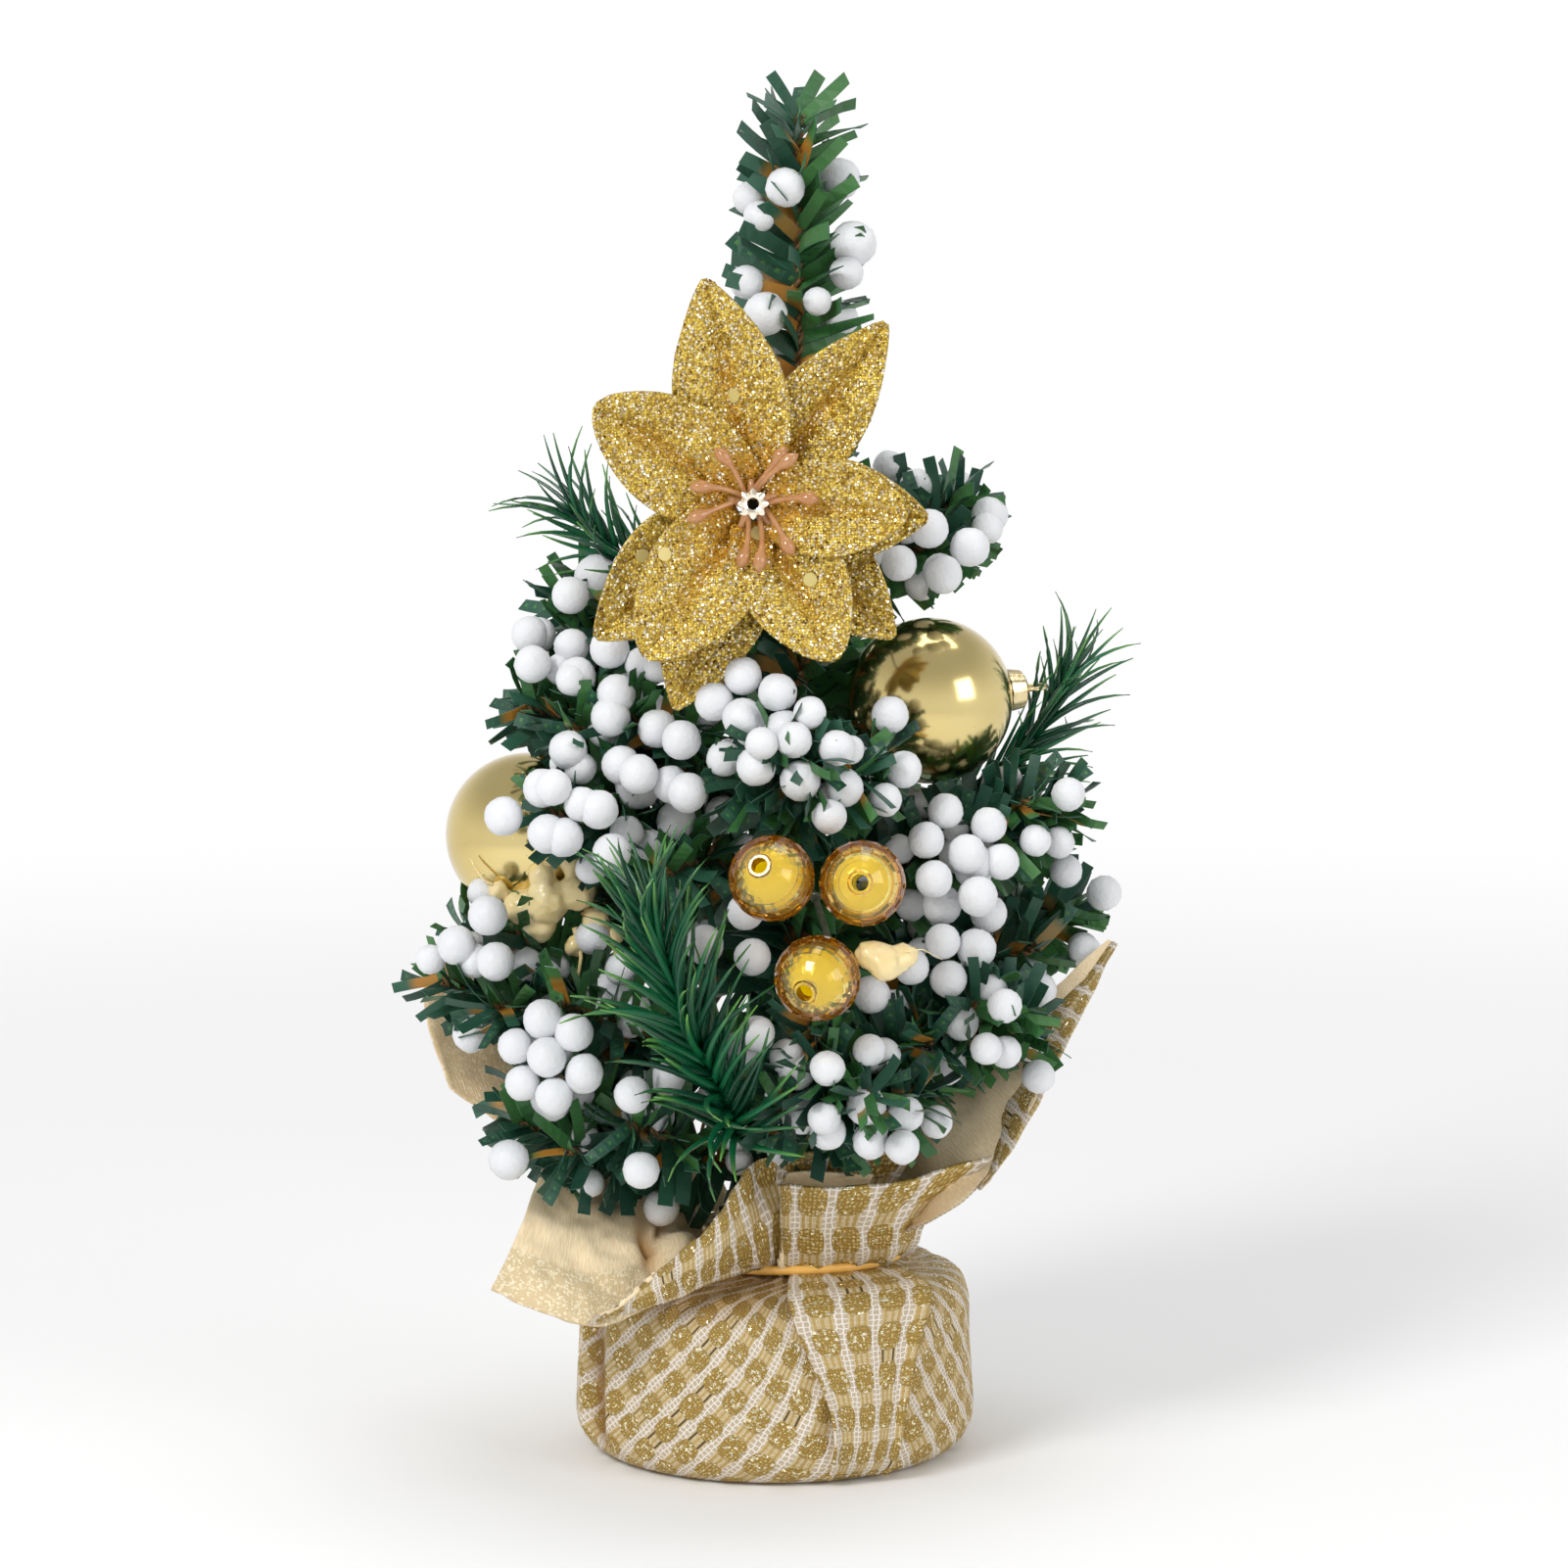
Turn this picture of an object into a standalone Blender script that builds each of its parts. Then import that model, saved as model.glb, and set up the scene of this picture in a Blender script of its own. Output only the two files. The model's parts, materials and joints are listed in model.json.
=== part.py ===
"""Artificial tabletop tree, 200 mm tall.

A plaster puck wrapped in cloth carries a wire trunk.  Tinsel stems are wound on the trunk and bend where
they leave it.  They carry foam berries, and a glitter flower, two baubles, three bead-in-bead ornaments
and three moulded pine sprigs are wired or glued between them.

Metres, +Z up, the front faces -Y, and the origin is the centre of the face that the tree stands on.
"""

import math

import bmesh
import bpy
from mathutils import Matrix, Vector

MM = 0.001
GAP = 0.3 * MM  # air left between pieces that touch on the real tree
EPS = 0.02 * MM

# Base: a plaster puck in a cloth pouch, gathered round the trunk by a rubber band.
PUCK_RADIUS = 28.0 * MM
PUCK_HEIGHT = 24.0 * MM
PUCK_EDGE = 3.5 * MM
SOCKET_DEPTH = 18.0 * MM
CLOTH = 1.1 * MM  # two plies with their creases
NECK_RADIUS = 13.6 * MM
NECK_BORE = 3.4 * MM
NECK_HEIGHT = 8.0 * MM
BAND_WIRE = 0.8 * MM
BAND_DROP = 4.6 * MM  # below the top of the neck
FLAP_CLOTH = 0.8 * MM
TAIL_WIDTH = 10.5 * MM
TAIL_HEM = 1.0 * MM  # the tail's end stays this far above the table
COLLAR_HEIGHT = 11.0 * MM

# Trunk and stems.
TRUNK_OFFSET = 3.5 * MM  # the trunk stands right of the middle of the base
TRUNK_RADIUS = 2.0 * MM
WINDING = 0.5 * MM  # how far the turns of a stem's root stand proud of the trunk
WINDING_HALF = 1.6 * MM
TRUNK_LENGTH = 115.0 * MM  # above the neck
LEADER_LENGTH = 51.0 * MM
STEM_WIRE = 0.8 * MM
TINSEL_RADIUS = 3.2 * MM
TINSEL_FLUTES = 6
TINSEL_TWIST = math.radians(75)
ROOT_BARE = 3.0 * MM
BERRY_RADIUS = 2.8 * MM
BERRY_BITE = 0.9 * MM  # how deep glued berries press into each other
BERRY_TURN = math.radians(14)  # round the stem from one berry to the next

# Flower.
FLOWER_SHARE = 0.915  # of the trunk's length
FLOWER_X = -2.9 * MM
FLOWER_REACH = 30.0 * MM
FLOWER_TILT = math.radians(6)
PETAL_CLOTH = 0.7 * MM
HUB_RADIUS = 5.0 * MM
LAYER_STEP = 1.6 * MM
EYELET_BORE = 0.9 * MM
EYELET_WALL = 0.6 * MM
EYELET_FLANGE = 0.8 * MM
EYELET_LENGTH = 7.2 * MM
STAMEN_LENGTH = 7.5 * MM
STAMEN_COUNT = 9

# Baubles and beads.
BALL_RADIUS = 12.0 * MM
BALL_WALL = 0.7 * MM
BALL_NECK = 1.9 * MM
BALL_NECK_LENGTH = 1.6 * MM
CAP_WALL = 0.5 * MM
CAP_SKIRT = 2.4 * MM
LOOP_RADIUS = 1.9 * MM
LOOP_WIRE = 0.35 * MM
BEAD_RADIUS = 6.0 * MM
BEAD_BORE = 1.1 * MM
BEAD_WALL = 1.8 * MM
BEAD_ROOM = 1 / 14  # how much smaller the core is than its hollow
BEAD_REACH = 42.0 * MM  # from the trunk to the back of the beads
BEAD_SHARE = 0.49
BEAD_WIRE = 0.5 * MM

# Pine sprigs and dried hot-melt glue.
SPRIG_AZIMUTH = math.radians(-106)
SPRIG_STEM = 0.8 * MM
NEEDLE_WIDTH = 0.55 * MM
GLUE_RADIUS = 2.6 * MM
GLUE_STAND = BALL_RADIUS + GAP + GLUE_RADIUS

NECK_TOP = GAP + CLOTH + PUCK_HEIGHT + GAP + NECK_HEIGHT
TRUNK_TOP = NECK_TOP + TRUNK_LENGTH
POUCH_RADIUS = PUCK_RADIUS + GAP + CLOTH
POUCH_SHOULDER = CLOTH + GAP + PUCK_HEIGHT

# name: share of the trunk's length, azimuth, rise, length, then where the berries start along the stem, which
# side of it they are on (0 and 180 are level, 90 is up) and how many.  Azimuth 0 is +X and -90 is the front.
BRANCHES = {
    "right_top": (0.815, 10, 23, 27.0, 9.0, 180, 4),
    "left_top": (0.70, 183, 18, 36.5, 9.0, 0, 4),
    "left_mid": (0.565, 199, 18, 43.5, 18.0, 0, 5),
    "front_mid": (0.52, -88, 20, 40.0, 14.0, 0, 4),
    "right_mid": (0.42, -12, 22, 42.0, 18.0, 180, 5),
    "left_front": (0.44, 213, 19, 45.5, 22.0, 270, 5),
    "right_back": (0.245, 9, 24, 45.5, 20.0, 180, 5),
    "left_low": (0.175, 190, 19, 56.0, 30.0, 0, 5),
    "left_bottom": (0.065, 206, 14, 46.5, 18.0, 0, 5),
    "front_low": (0.115, -76, 19, 43.0, 20.0, 0, 5),
    "right_low": (0.16, -38, 25, 44.0, 18.0, 180, 5),
    "back_left": (0.29, 140, 23, 43.0, 18.0, 0, 5),
    "back_right": (0.33, 57, 23, 43.0, 18.0, 180, 5),
    "back_top": (0.63, 97, 26, 35.0, 14.0, 180, 4),
}

# angle in the flower's plane, length from the middle, width, lift of the tip
FRONT_PETALS = (
    (101, 33, 18, 4.0),
    (148, 27, 19, 5.0),
    (236, 27, 18, 6.0),
    (299, 25, 17, 4.5),
    (350, 24, 17, 5.0),
)
BACK_PETALS = (
    (53, 31, 14, 0.5),
    (5, 25, 14, 0.5),
    (-45, 28, 14, -0.5),
    (249, 31, 15, 0.5),
    (219, 29, 15, 0.0),
)

# centre across and up from the middle of the group, in sixths of a bead's radius, and the way the hole faces
BEADS = (
    ((-6.1, 5.3), (-0.28, -0.87, 0.42)),
    ((6.4, 4.6), (-0.07, -0.98, 0.16)),
    ((0.2, -8.6), (-0.30, -0.93, -0.19)),
)


def new_material(name, colour, roughness, metallic=0.0, alpha=1.0):
    material = bpy.data.materials.new(name)
    material.use_nodes = True
    shader = material.node_tree.nodes["Principled BSDF"]
    shader.inputs["Base Color"].default_value = (*colour, 1.0)
    shader.inputs["Roughness"].default_value = roughness
    shader.inputs["Metallic"].default_value = metallic
    shader.inputs["Alpha"].default_value = alpha
    return material


def new_collection(name):
    collection = bpy.data.collections.new(name)
    bpy.context.scene.collection.children.link(collection)
    return collection


def new_object(name, data, material=None, parent=None):
    obj = bpy.data.objects.new(name, data)
    TREE.objects.link(obj)
    obj.parent = parent
    if material:
        data.materials.append(material)
    return obj


def frame_at(name, origin, x_axis, up=Vector((0, 0, 1))):
    """An empty at a point, with its X along x_axis and its Z as near to up as it can be."""
    x = Vector(x_axis).normalized()
    y = up.cross(x).normalized()
    empty = bpy.data.objects.new(name, None)
    TREE.objects.link(empty)
    rotation = Matrix((x, y, x.cross(y))).transposed()
    empty.matrix_world = Matrix.Translation(origin) @ rotation.to_4x4()
    return empty


def from_bmesh(name, bm, material=None, parent=None):
    bmesh.ops.recalc_face_normals(bm, faces=bm.faces)
    mesh = bpy.data.meshes.new(name)
    bm.to_mesh(mesh)
    bm.free()
    return new_object(name, mesh, material, parent)


def ball(name, centre, radius):
    bm = bmesh.new()
    bmesh.ops.create_uvsphere(bm, u_segments=8, v_segments=5, radius=radius)
    bmesh.ops.translate(bm, verts=bm.verts, vec=centre)
    return from_bmesh(name, bm)


def rod(name, start, end, radius, end_radius=None, segments=6):
    start, end = Vector(start), Vector(end)
    bm = bmesh.new()
    bmesh.ops.create_cone(
        bm,
        cap_ends=True,
        segments=segments,
        radius1=radius,
        radius2=radius if end_radius is None else end_radius,
        depth=(end - start).length,
    )
    turn = (end - start).to_track_quat("Z", "Y").to_matrix().to_4x4()
    bmesh.ops.transform(bm, matrix=Matrix.Translation((start + end) / 2) @ turn, verts=bm.verts)
    return from_bmesh(name, bm)


def evaluated_mesh(obj):
    bpy.context.view_layer.update()
    graph = bpy.context.evaluated_depsgraph_get()
    return bpy.data.meshes.new_from_object(obj.evaluated_get(graph))


def bake(obj, material):
    """Replaces an object's mesh or curve by the plain mesh that its modifiers and bevel make."""
    mesh = evaluated_mesh(obj)
    name, parent = obj.name, obj.parent
    bpy.data.objects.remove(obj)
    bm = bmesh.new()
    bm.from_mesh(mesh)
    bmesh.ops.remove_doubles(bm, verts=bm.verts, dist=EPS / 10)
    bm.to_mesh(mesh)
    bm.free()
    mesh.materials.clear()
    mesh.name = name
    return new_object(name, mesh, material, parent)


def combine(name, pieces, material, operation="UNION"):
    """One closed body from the first piece and the others, which are used up."""
    base, others = pieces[0], pieces[1:]
    operands = new_collection(name + "_operands")
    for piece in others:
        TREE.objects.unlink(piece)
        operands.objects.link(piece)
    join = base.modifiers.new("combine", "BOOLEAN")
    join.operation = operation
    join.operand_type = "COLLECTION"
    join.collection = operands
    base.name = name
    made = bake(base, material)
    for piece in others:
        bpy.data.objects.remove(piece)
    bpy.data.collections.remove(operands)
    return made


def turned(name, profile, steps, material, parent=None):
    """A body of revolution round local Z, from a closed profile of (radius, height) that runs down its outer side."""
    bm = bmesh.new()
    ring = [bm.verts.new((r, 0, z)) for r, z in profile]
    for first, second in zip(ring, ring[1:] + ring[:1]):
        bm.edges.new((first, second))
    mesh = bpy.data.meshes.new(name)
    bm.to_mesh(mesh)
    bm.free()
    obj = new_object(name, mesh, None, parent)
    screw = obj.modifiers.new("turn", "SCREW")
    screw.steps = screw.render_steps = steps
    screw.use_merge_vertices = True
    screw.merge_threshold = EPS
    return bake(obj, material)


def tube(name, points, radius, material=None, parent=None, resolution=1):
    curve = bpy.data.curves.new(name, "CURVE")
    curve.dimensions = "3D"
    curve.bevel_depth = radius
    curve.bevel_resolution = resolution
    curve.use_fill_caps = True
    spline = curve.splines.new("POLY")
    spline.points.add(len(points) - 1)
    for point, place in zip(spline.points, points):
        point.co = (*place, 1.0)
    return bake(new_object(name, curve, None, parent), material)


def patch(name, surface, rows, columns, thickness, material, parent=None):
    """A sheet of cloth: surface(u, v) gives a point for u and v from 0 to 1, and Solidify gives it its thickness."""
    bm = bmesh.new()
    grid = [
        [bm.verts.new(surface(i / rows, j / columns)) for j in range(columns + 1)]
        for i in range(rows + 1)
    ]
    for i in range(rows):
        for j in range(columns):
            bm.faces.new((grid[i][j], grid[i + 1][j], grid[i + 1][j + 1], grid[i][j + 1]))
    mesh = bpy.data.meshes.new(name)
    bm.to_mesh(mesh)
    bm.free()
    obj = new_object(name, mesh, None, parent)
    shell = obj.modifiers.new("cloth", "SOLIDIFY")
    shell.thickness = thickness
    shell.offset = 0.0
    return bake(obj, material)


def arc(radius, start, end, count, centre=(0.0, 0.0)):
    """Points on an arc as (radius, height), angles in degrees from the horizontal."""
    angles = (math.radians(start + (end - start) * k / count) for k in range(count + 1))
    return [(centre[0] + radius * math.cos(a), centre[1] + radius * math.sin(a)) for a in angles]


def mix(a, b, t):
    return Vector(a).lerp(Vector(b), t)


def on_trunk(share):
    return NECK_TOP + TRUNK_LENGTH * share


# --- base ---------------------------------------------------------------------------------------------------


def drawn(radius):
    """How far the cloth on top of the puck is drawn across to the trunk, all the way at the neck."""
    rim = POUCH_RADIUS - PUCK_EDGE - GAP - CLOTH
    share = (rim - radius) / (rim - NECK_RADIUS)
    return TRUNK_OFFSET * min(max(share, 0.0), 1.0)


def pouch_outline():
    """The pouch's outer side from the top of the neck down to the table, as (radius, height)."""
    shoulder = PUCK_EDGE + GAP + CLOTH
    top = POUCH_SHOULDER + GAP + CLOTH
    crown = arc(shoulder, 90, 0, 4, (POUCH_RADIUS - shoulder, top - shoulder))
    foot = arc(shoulder, 0, -90, 4, (POUCH_RADIUS - shoulder, shoulder))
    return [(NECK_RADIUS, NECK_TOP), (NECK_RADIUS, top)] + crown + foot


def make_base():
    socket = TRUNK_RADIUS + GAP
    floor = CLOTH + GAP
    bm = bmesh.new()
    bmesh.ops.create_cone(
        bm, cap_ends=True, segments=32, radius1=PUCK_RADIUS, radius2=PUCK_RADIUS, depth=PUCK_HEIGHT
    )
    bmesh.ops.translate(bm, verts=bm.verts, vec=(0, 0, floor + PUCK_HEIGHT / 2))
    puck = from_bmesh("puck_blank", bm)
    edge = puck.modifiers.new("edge", "BEVEL")
    edge.width = PUCK_EDGE
    edge.segments = 3
    puck = bake(puck, None)
    top = floor + PUCK_HEIGHT
    hole = rod(
        "socket",
        (TRUNK_OFFSET, 0, top - SOCKET_DEPTH),
        (TRUNK_OFFSET, 0, top + SOCKET_DEPTH),
        socket,
        segments=12,
    )
    combine("plaster_puck", [puck, hole], PLASTER, "DIFFERENCE")

    inner = PUCK_EDGE + GAP
    roof = top + GAP
    crown = arc(inner, 90, 0, 3, (PUCK_RADIUS + GAP - inner, roof - inner))
    foot = arc(inner, 0, -90, 3, (PUCK_RADIUS + GAP - inner, CLOTH + inner))
    inside = [(NECK_BORE, NECK_TOP), (NECK_BORE, roof)] + crown + foot + [(0.0, CLOTH)]
    pouch = turned("wrap_pouch", pouch_outline() + [(0.0, 0.0)] + inside[::-1], 28, CLOTH_GOLD)
    for vertex in pouch.data.vertices:
        if vertex.co.z > POUCH_SHOULDER:
            vertex.co.x += drawn(vertex.co.xy.length)

    band_radius = NECK_RADIUS + GAP + BAND_WIRE
    section = arc(BAND_WIRE, 180, -120, 5, (band_radius, NECK_TOP - BAND_DROP))
    band = turned("rubber_band", section, 24, RUBBER)
    for vertex in band.data.vertices:
        vertex.co.x += TRUNK_OFFSET


def make_tail():
    """The cloth's front corner, which hangs from the band over the pouch to the table."""
    outline = [(r + GAP + FLAP_CLOTH / 2, z) for r, z in pouch_outline()]
    clear = NECK_RADIUS + 2 * GAP + 2 * BAND_WIRE + FLAP_CLOTH
    start = POUCH_SHOULDER + GAP + CLOTH + GAP + FLAP_CLOTH / 2
    line = [(clear, start)] + [(r, z + FLAP_CLOTH / 2 + GAP) for r, z in outline[2:6]]
    line += [outline[6], outline[7], (outline[7][0], TAIL_HEM)]
    lengths = [0.0]
    for (r1, z1), (r2, z2) in zip(line, line[1:]):
        lengths.append(lengths[-1] + math.hypot(r2 - r1, z2 - z1))

    def along(t):
        want = t * lengths[-1]
        k = max(i for i in range(len(lengths) - 1) if lengths[i] <= want + EPS)
        s = (want - lengths[k]) / (lengths[k + 1] - lengths[k])
        return [line[k][i] + (line[k + 1][i] - line[k][i]) * s for i in (0, 1)]

    def surface(u, v):
        radius, height = along(u)
        azimuth = math.radians(-66) + (v - 0.5) * TAIL_WIDTH / radius
        return (drawn(radius) + radius * math.cos(azimuth), radius * math.sin(azimuth), height)

    patch("wrap_tail", surface, 12, 3, FLAP_CLOTH, CLOTH_GOLD)


def corner_patch(name, near_a, near_b, far_a, far_b, belly, material):
    """A flap between two points at the neck and two further out, bellied by a vector in the middle."""

    def surface(u, v):
        flat = mix(mix(near_a, near_b, v), mix(far_a, far_b, v), u)
        return flat + Vector(belly) * math.sin(math.pi * u) * (1 - 0.5 * abs(2 * v - 1))

    patch(name, surface, 6, 4, FLAP_CLOTH, material)


def make_corners():
    """The parts of the cloth that stand out above the band."""
    z = NECK_TOP + GAP + FLAP_CLOTH
    reach = POUCH_RADIUS
    rim = z + COLLAR_HEIGHT
    below = POUCH_SHOULDER + 2 * CLOTH

    def place(across, depth, height):
        return Vector((TRUNK_OFFSET + across * MM, depth * MM, height))

    corner_patch(
        "wrap_corner_left",
        place(-8.0, -12.0, z),
        place(-11.0, -1.0, z + 2 * MM),
        place(-8.0, -4.5, below - 1 * MM) + Vector((-reach * 0.75, -reach * 0.9, 0)),
        place(-11.0, -4.0, z + 5 * MM) + Vector((-reach * 0.9, 0, 0)),
        (-2 * MM, -3 * MM, 5 * MM),
        CLOTH_LINING,
    )
    corner_patch(
        "wrap_corner_back",
        place(-11.0, 3.0, z),
        place(-6.0, 9.0, z),
        place(-22.0, 6.0, rim + 20 * MM) + Vector((-reach, 0, 0)),
        place(0.0, 14.0, rim + 16 * MM) + Vector((-reach, 0, 0)),
        (-7 * MM, 1 * MM, -9 * MM),
        CLOTH_LINING,
    )
    corner_patch(
        "wrap_corner_right",
        place(12.0, -6.0, z),
        place(11.0, 4.0, z),
        place(17.0, -8.0, rim + 29 * MM) + Vector((reach, 0, 0)),
        place(12.0, 1.0, rim + 20 * MM) + Vector((reach, 0, 0)),
        (6 * MM, -5 * MM, -7 * MM),
        CLOTH_LINING,
    )
    corner_patch(
        "wrap_front_panel",
        place(-7.0, -14.0, z),
        place(11.0, -9.0, z),
        place(-9.0, -19.0, rim),
        place(-3.0, -21.0, rim) + Vector((reach, 0, 0)),
        (0, -2 * MM, 0),
        CLOTH_GOLD,
    )


# --- trunk and tinsel stems ---------------------------------------------------------------------------------


def make_trunk():
    foot = CLOTH + GAP + PUCK_HEIGHT - SOCKET_DEPTH + GAP
    proud = TRUNK_RADIUS + WINDING
    profile = [(0.0, TRUNK_TOP), (TRUNK_RADIUS, TRUNK_TOP)]
    for share in sorted({branch[0] for branch in BRANCHES.values()}, reverse=True):
        height = on_trunk(share)
        if height + WINDING_HALF > profile[-1][1] - EPS:
            continue
        profile += [
            (TRUNK_RADIUS, height + WINDING_HALF),
            (proud, height + WINDING_HALF / 2),
            (proud, height - WINDING_HALF / 2),
            (TRUNK_RADIUS, height - WINDING_HALF),
        ]
    profile += [(TRUNK_RADIUS, foot), (0.0, foot)]
    trunk = turned("trunk", profile, 8, BARK)
    trunk.location.x = TRUNK_OFFSET


def star_outline():
    """The cross-section of a tinsel stem, used as the bevel of its curve.  It is a guide and not a part."""
    curve = bpy.data.curves.new("tinsel_section", "CURVE")
    curve.dimensions = "2D"
    spline = curve.splines.new("POLY")
    count = 2 * TINSEL_FLUTES
    spline.points.add(count - 1)
    for k, point in enumerate(spline.points):
        radius = TINSEL_RADIUS * (1.0 if k % 2 else 0.55)
        angle = -math.tau * k / count
        point.co = (radius * math.cos(angle), radius * math.sin(angle), 0, 1)
    spline.use_cyclic_u = True
    guide = bpy.data.objects.new("tinsel_section", curve)
    GUIDES.objects.link(guide)
    guide.hide_render = True
    guide.display_type = "WIRE"
    return guide


def tinsel_stem(name, length, section, parent):
    """A stem along local X: bare twisted wire at the root, then strips that thin out at the tip."""
    bare = STEM_WIRE / TINSEL_RADIUS
    stations = [(0.0, bare), (ROOT_BARE, bare), (ROOT_BARE * 1.6, 1.0)]
    body = length - ROOT_BARE * 1.6
    stations += [(ROOT_BARE * 1.6 + body * t, 1.0 - 0.15 * t) for t in (0.33, 0.66, 0.9)]
    stations += [(length, 0.5)]
    curve = bpy.data.curves.new(name, "CURVE")
    curve.dimensions = "3D"
    curve.bevel_mode = "OBJECT"
    curve.bevel_object = section
    curve.use_fill_caps = True
    spline = curve.splines.new("POLY")
    spline.points.add(len(stations) - 1)
    for point, (along, radius) in zip(spline.points, stations):
        point.co = (along, 0, 0, 1)
        point.radius = radius
        point.tilt = TINSEL_TWIST * along / length
    return bake(new_object(name, curve, None, parent), TINSEL)


def berry_clump(name, start, side, count, parent):
    """Foam berries glued to each other in a row that winds a little round the stem's strips."""
    ring = TINSEL_RADIUS + GAP + BERRY_RADIUS
    chord = 2 * ring * math.sin(BERRY_TURN / 2)
    advance = math.sqrt((2 * BERRY_RADIUS - BERRY_BITE) ** 2 - chord**2)
    pieces = []
    for k in range(count):
        a = math.radians(side) + BERRY_TURN * (k - (count - 1) / 2)
        centre = (start + advance * k, ring * math.cos(a), ring * math.sin(a))
        pieces.append(ball(f"{name}_{k}", centre, BERRY_RADIUS))
    clump = combine(name, pieces, FOAM)
    clump.parent = parent


def make_branches(section):
    """Each stem and its berries hang from an empty on the stem's bend, with local Y as the bend's axis."""
    frames = {}
    for name, (share, azimuth, rise, length, start, side, count) in BRANCHES.items():
        a, e = math.radians(azimuth), math.radians(rise)
        out = Vector((math.cos(a), math.sin(a), 0))
        clear = TRUNK_RADIUS + WINDING + GAP + STEM_WIRE * math.sin(e)
        root = Vector((TRUNK_OFFSET, 0, on_trunk(share))) + out * clear
        frame = frame_at("bend_" + name, root, out * math.cos(e) + Vector((0, 0, math.sin(e))))
        tinsel_stem("stem_" + name, length * MM, section, frame)
        berry_clump("berries_" + name, start * MM, side, count, frame)
        frames[name] = frame
    return frames


def make_leader(section):
    """The tree's top: one upright stem that bends where it leaves the trunk."""
    root = Vector((TRUNK_OFFSET, 0, TRUNK_TOP + GAP))
    frame = frame_at("bend_leader", root, (0, 0, 1), up=Vector((-1, 0, 0)))
    tinsel_stem("stem_leader", LEADER_LENGTH, section, frame)
    berry_clump("berries_leader", LEADER_LENGTH * 0.4, 160, 6, frame)


# --- flower -------------------------------------------------------------------------------------------------


def petal(name, angle, length, width, lift, height):
    """A pointed petal from the hub outwards, folded a little along its middle."""
    start = HUB_RADIUS * 0.62
    turn = Matrix.Rotation(math.radians(angle), 4, "Z")

    def surface(u, v):
        half = max(0.5 * width * MM * math.sin(math.pi * (0.1 + 0.9 * u)) ** 0.8, 0.35 * MM)
        across = (2 * v - 1) * half
        fold = 0.12 * abs(across)
        along = start + (length * MM - start) * u
        return turn @ Vector((along, across, height + lift * MM * u * u + fold * u))

    return patch(name, surface, 5, 2, PETAL_CLOTH, None)


def petal_layer(name, petals, height, frame):
    hub = rod(name + "_hub", (0, 0, height - 0.6 * MM), (0, 0, height + 0.6 * MM), HUB_RADIUS, segments=14)
    pieces = [hub] + [petal(f"{name}_{k}", *values, height) for k, values in enumerate(petals)]
    layer = combine(name, pieces, None)
    bore = EYELET_BORE + EYELET_WALL + GAP
    hole = rod(name + "_hole", (0, 0, height - 4 * MM), (0, 0, height + 4 * MM), bore, segments=10)
    layer = combine(name, [layer, hole], GLITTER, "DIFFERENCE")
    layer.parent = frame


def make_flower():
    """Two layers of petals and a crown of stamens, held together by an eyelet on a wire."""
    centre = Vector((FLOWER_X, -FLOWER_REACH, on_trunk(FLOWER_SHARE)))
    face = Vector((0, -math.cos(FLOWER_TILT), math.sin(FLOWER_TILT)))
    frame = frame_at("flower_middle", centre, (1, 0, 0), up=face)
    petal_layer("petals_front", FRONT_PETALS, -0.8 * MM, frame)
    petal_layer("petals_back", BACK_PETALS, -0.8 * MM - LAYER_STEP, frame)

    bore = EYELET_BORE + EYELET_WALL + GAP
    hub_wall = 1.3 * MM
    pieces = [rod("stamen_hub", (0, 0, 0.2 * MM), (0, 0, 1.4 * MM), bore + hub_wall, segments=14)]
    for k in range(STAMEN_COUNT):
        angle = math.tau * (k + 0.3) / STAMEN_COUNT
        rise = math.radians(24 + 12 * (k % 3))
        out = Vector((math.cos(angle) * math.cos(rise), math.sin(angle) * math.cos(rise), math.sin(rise)))
        start = Vector((math.cos(angle), math.sin(angle), 0)) * (bore + hub_wall / 2) + Vector((0, 0, 0.8 * MM))
        pieces.append(rod(f"stamen_{k}", start, start + out * STAMEN_LENGTH, 0.4 * MM, 0.8 * MM))
    crown = combine("stamens", pieces, None)
    hole = rod("stamen_hole", (0, 0, -2 * MM), (0, 0, 5 * MM), bore, segments=10)
    crown = combine("stamens", [crown, hole], COPPER, "DIFFERENCE")
    crown.parent = frame

    outer = EYELET_BORE + EYELET_WALL
    top = 1.4 * MM + GAP + 0.6 * MM
    bottom = top - EYELET_LENGTH
    flange = outer + EYELET_FLANGE
    profile = [
        (EYELET_BORE, top),
        (flange, top),
        (flange, top - 0.6 * MM),
        (outer, top - 0.6 * MM),
        (outer, bottom),
        (EYELET_BORE, bottom),
    ]
    turned("flower_eyelet", profile, 12, BRASS, frame)

    wire = EYELET_BORE - GAP
    into = frame.matrix_world @ Vector((0, 0, bottom + EYELET_LENGTH * 0.4))
    behind = frame.matrix_world @ Vector((0, 0, bottom - 3 * MM))
    stem_root = Vector((TRUNK_OFFSET, -TRUNK_RADIUS - WINDING - GAP, centre.z - 4 * MM))
    tube("flower_wire", [stem_root, stem_root + Vector((0, -8 * MM, 0)), behind, into], wire, STEEL)


# --- ornaments ----------------------------------------------------------------------------------------------


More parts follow.
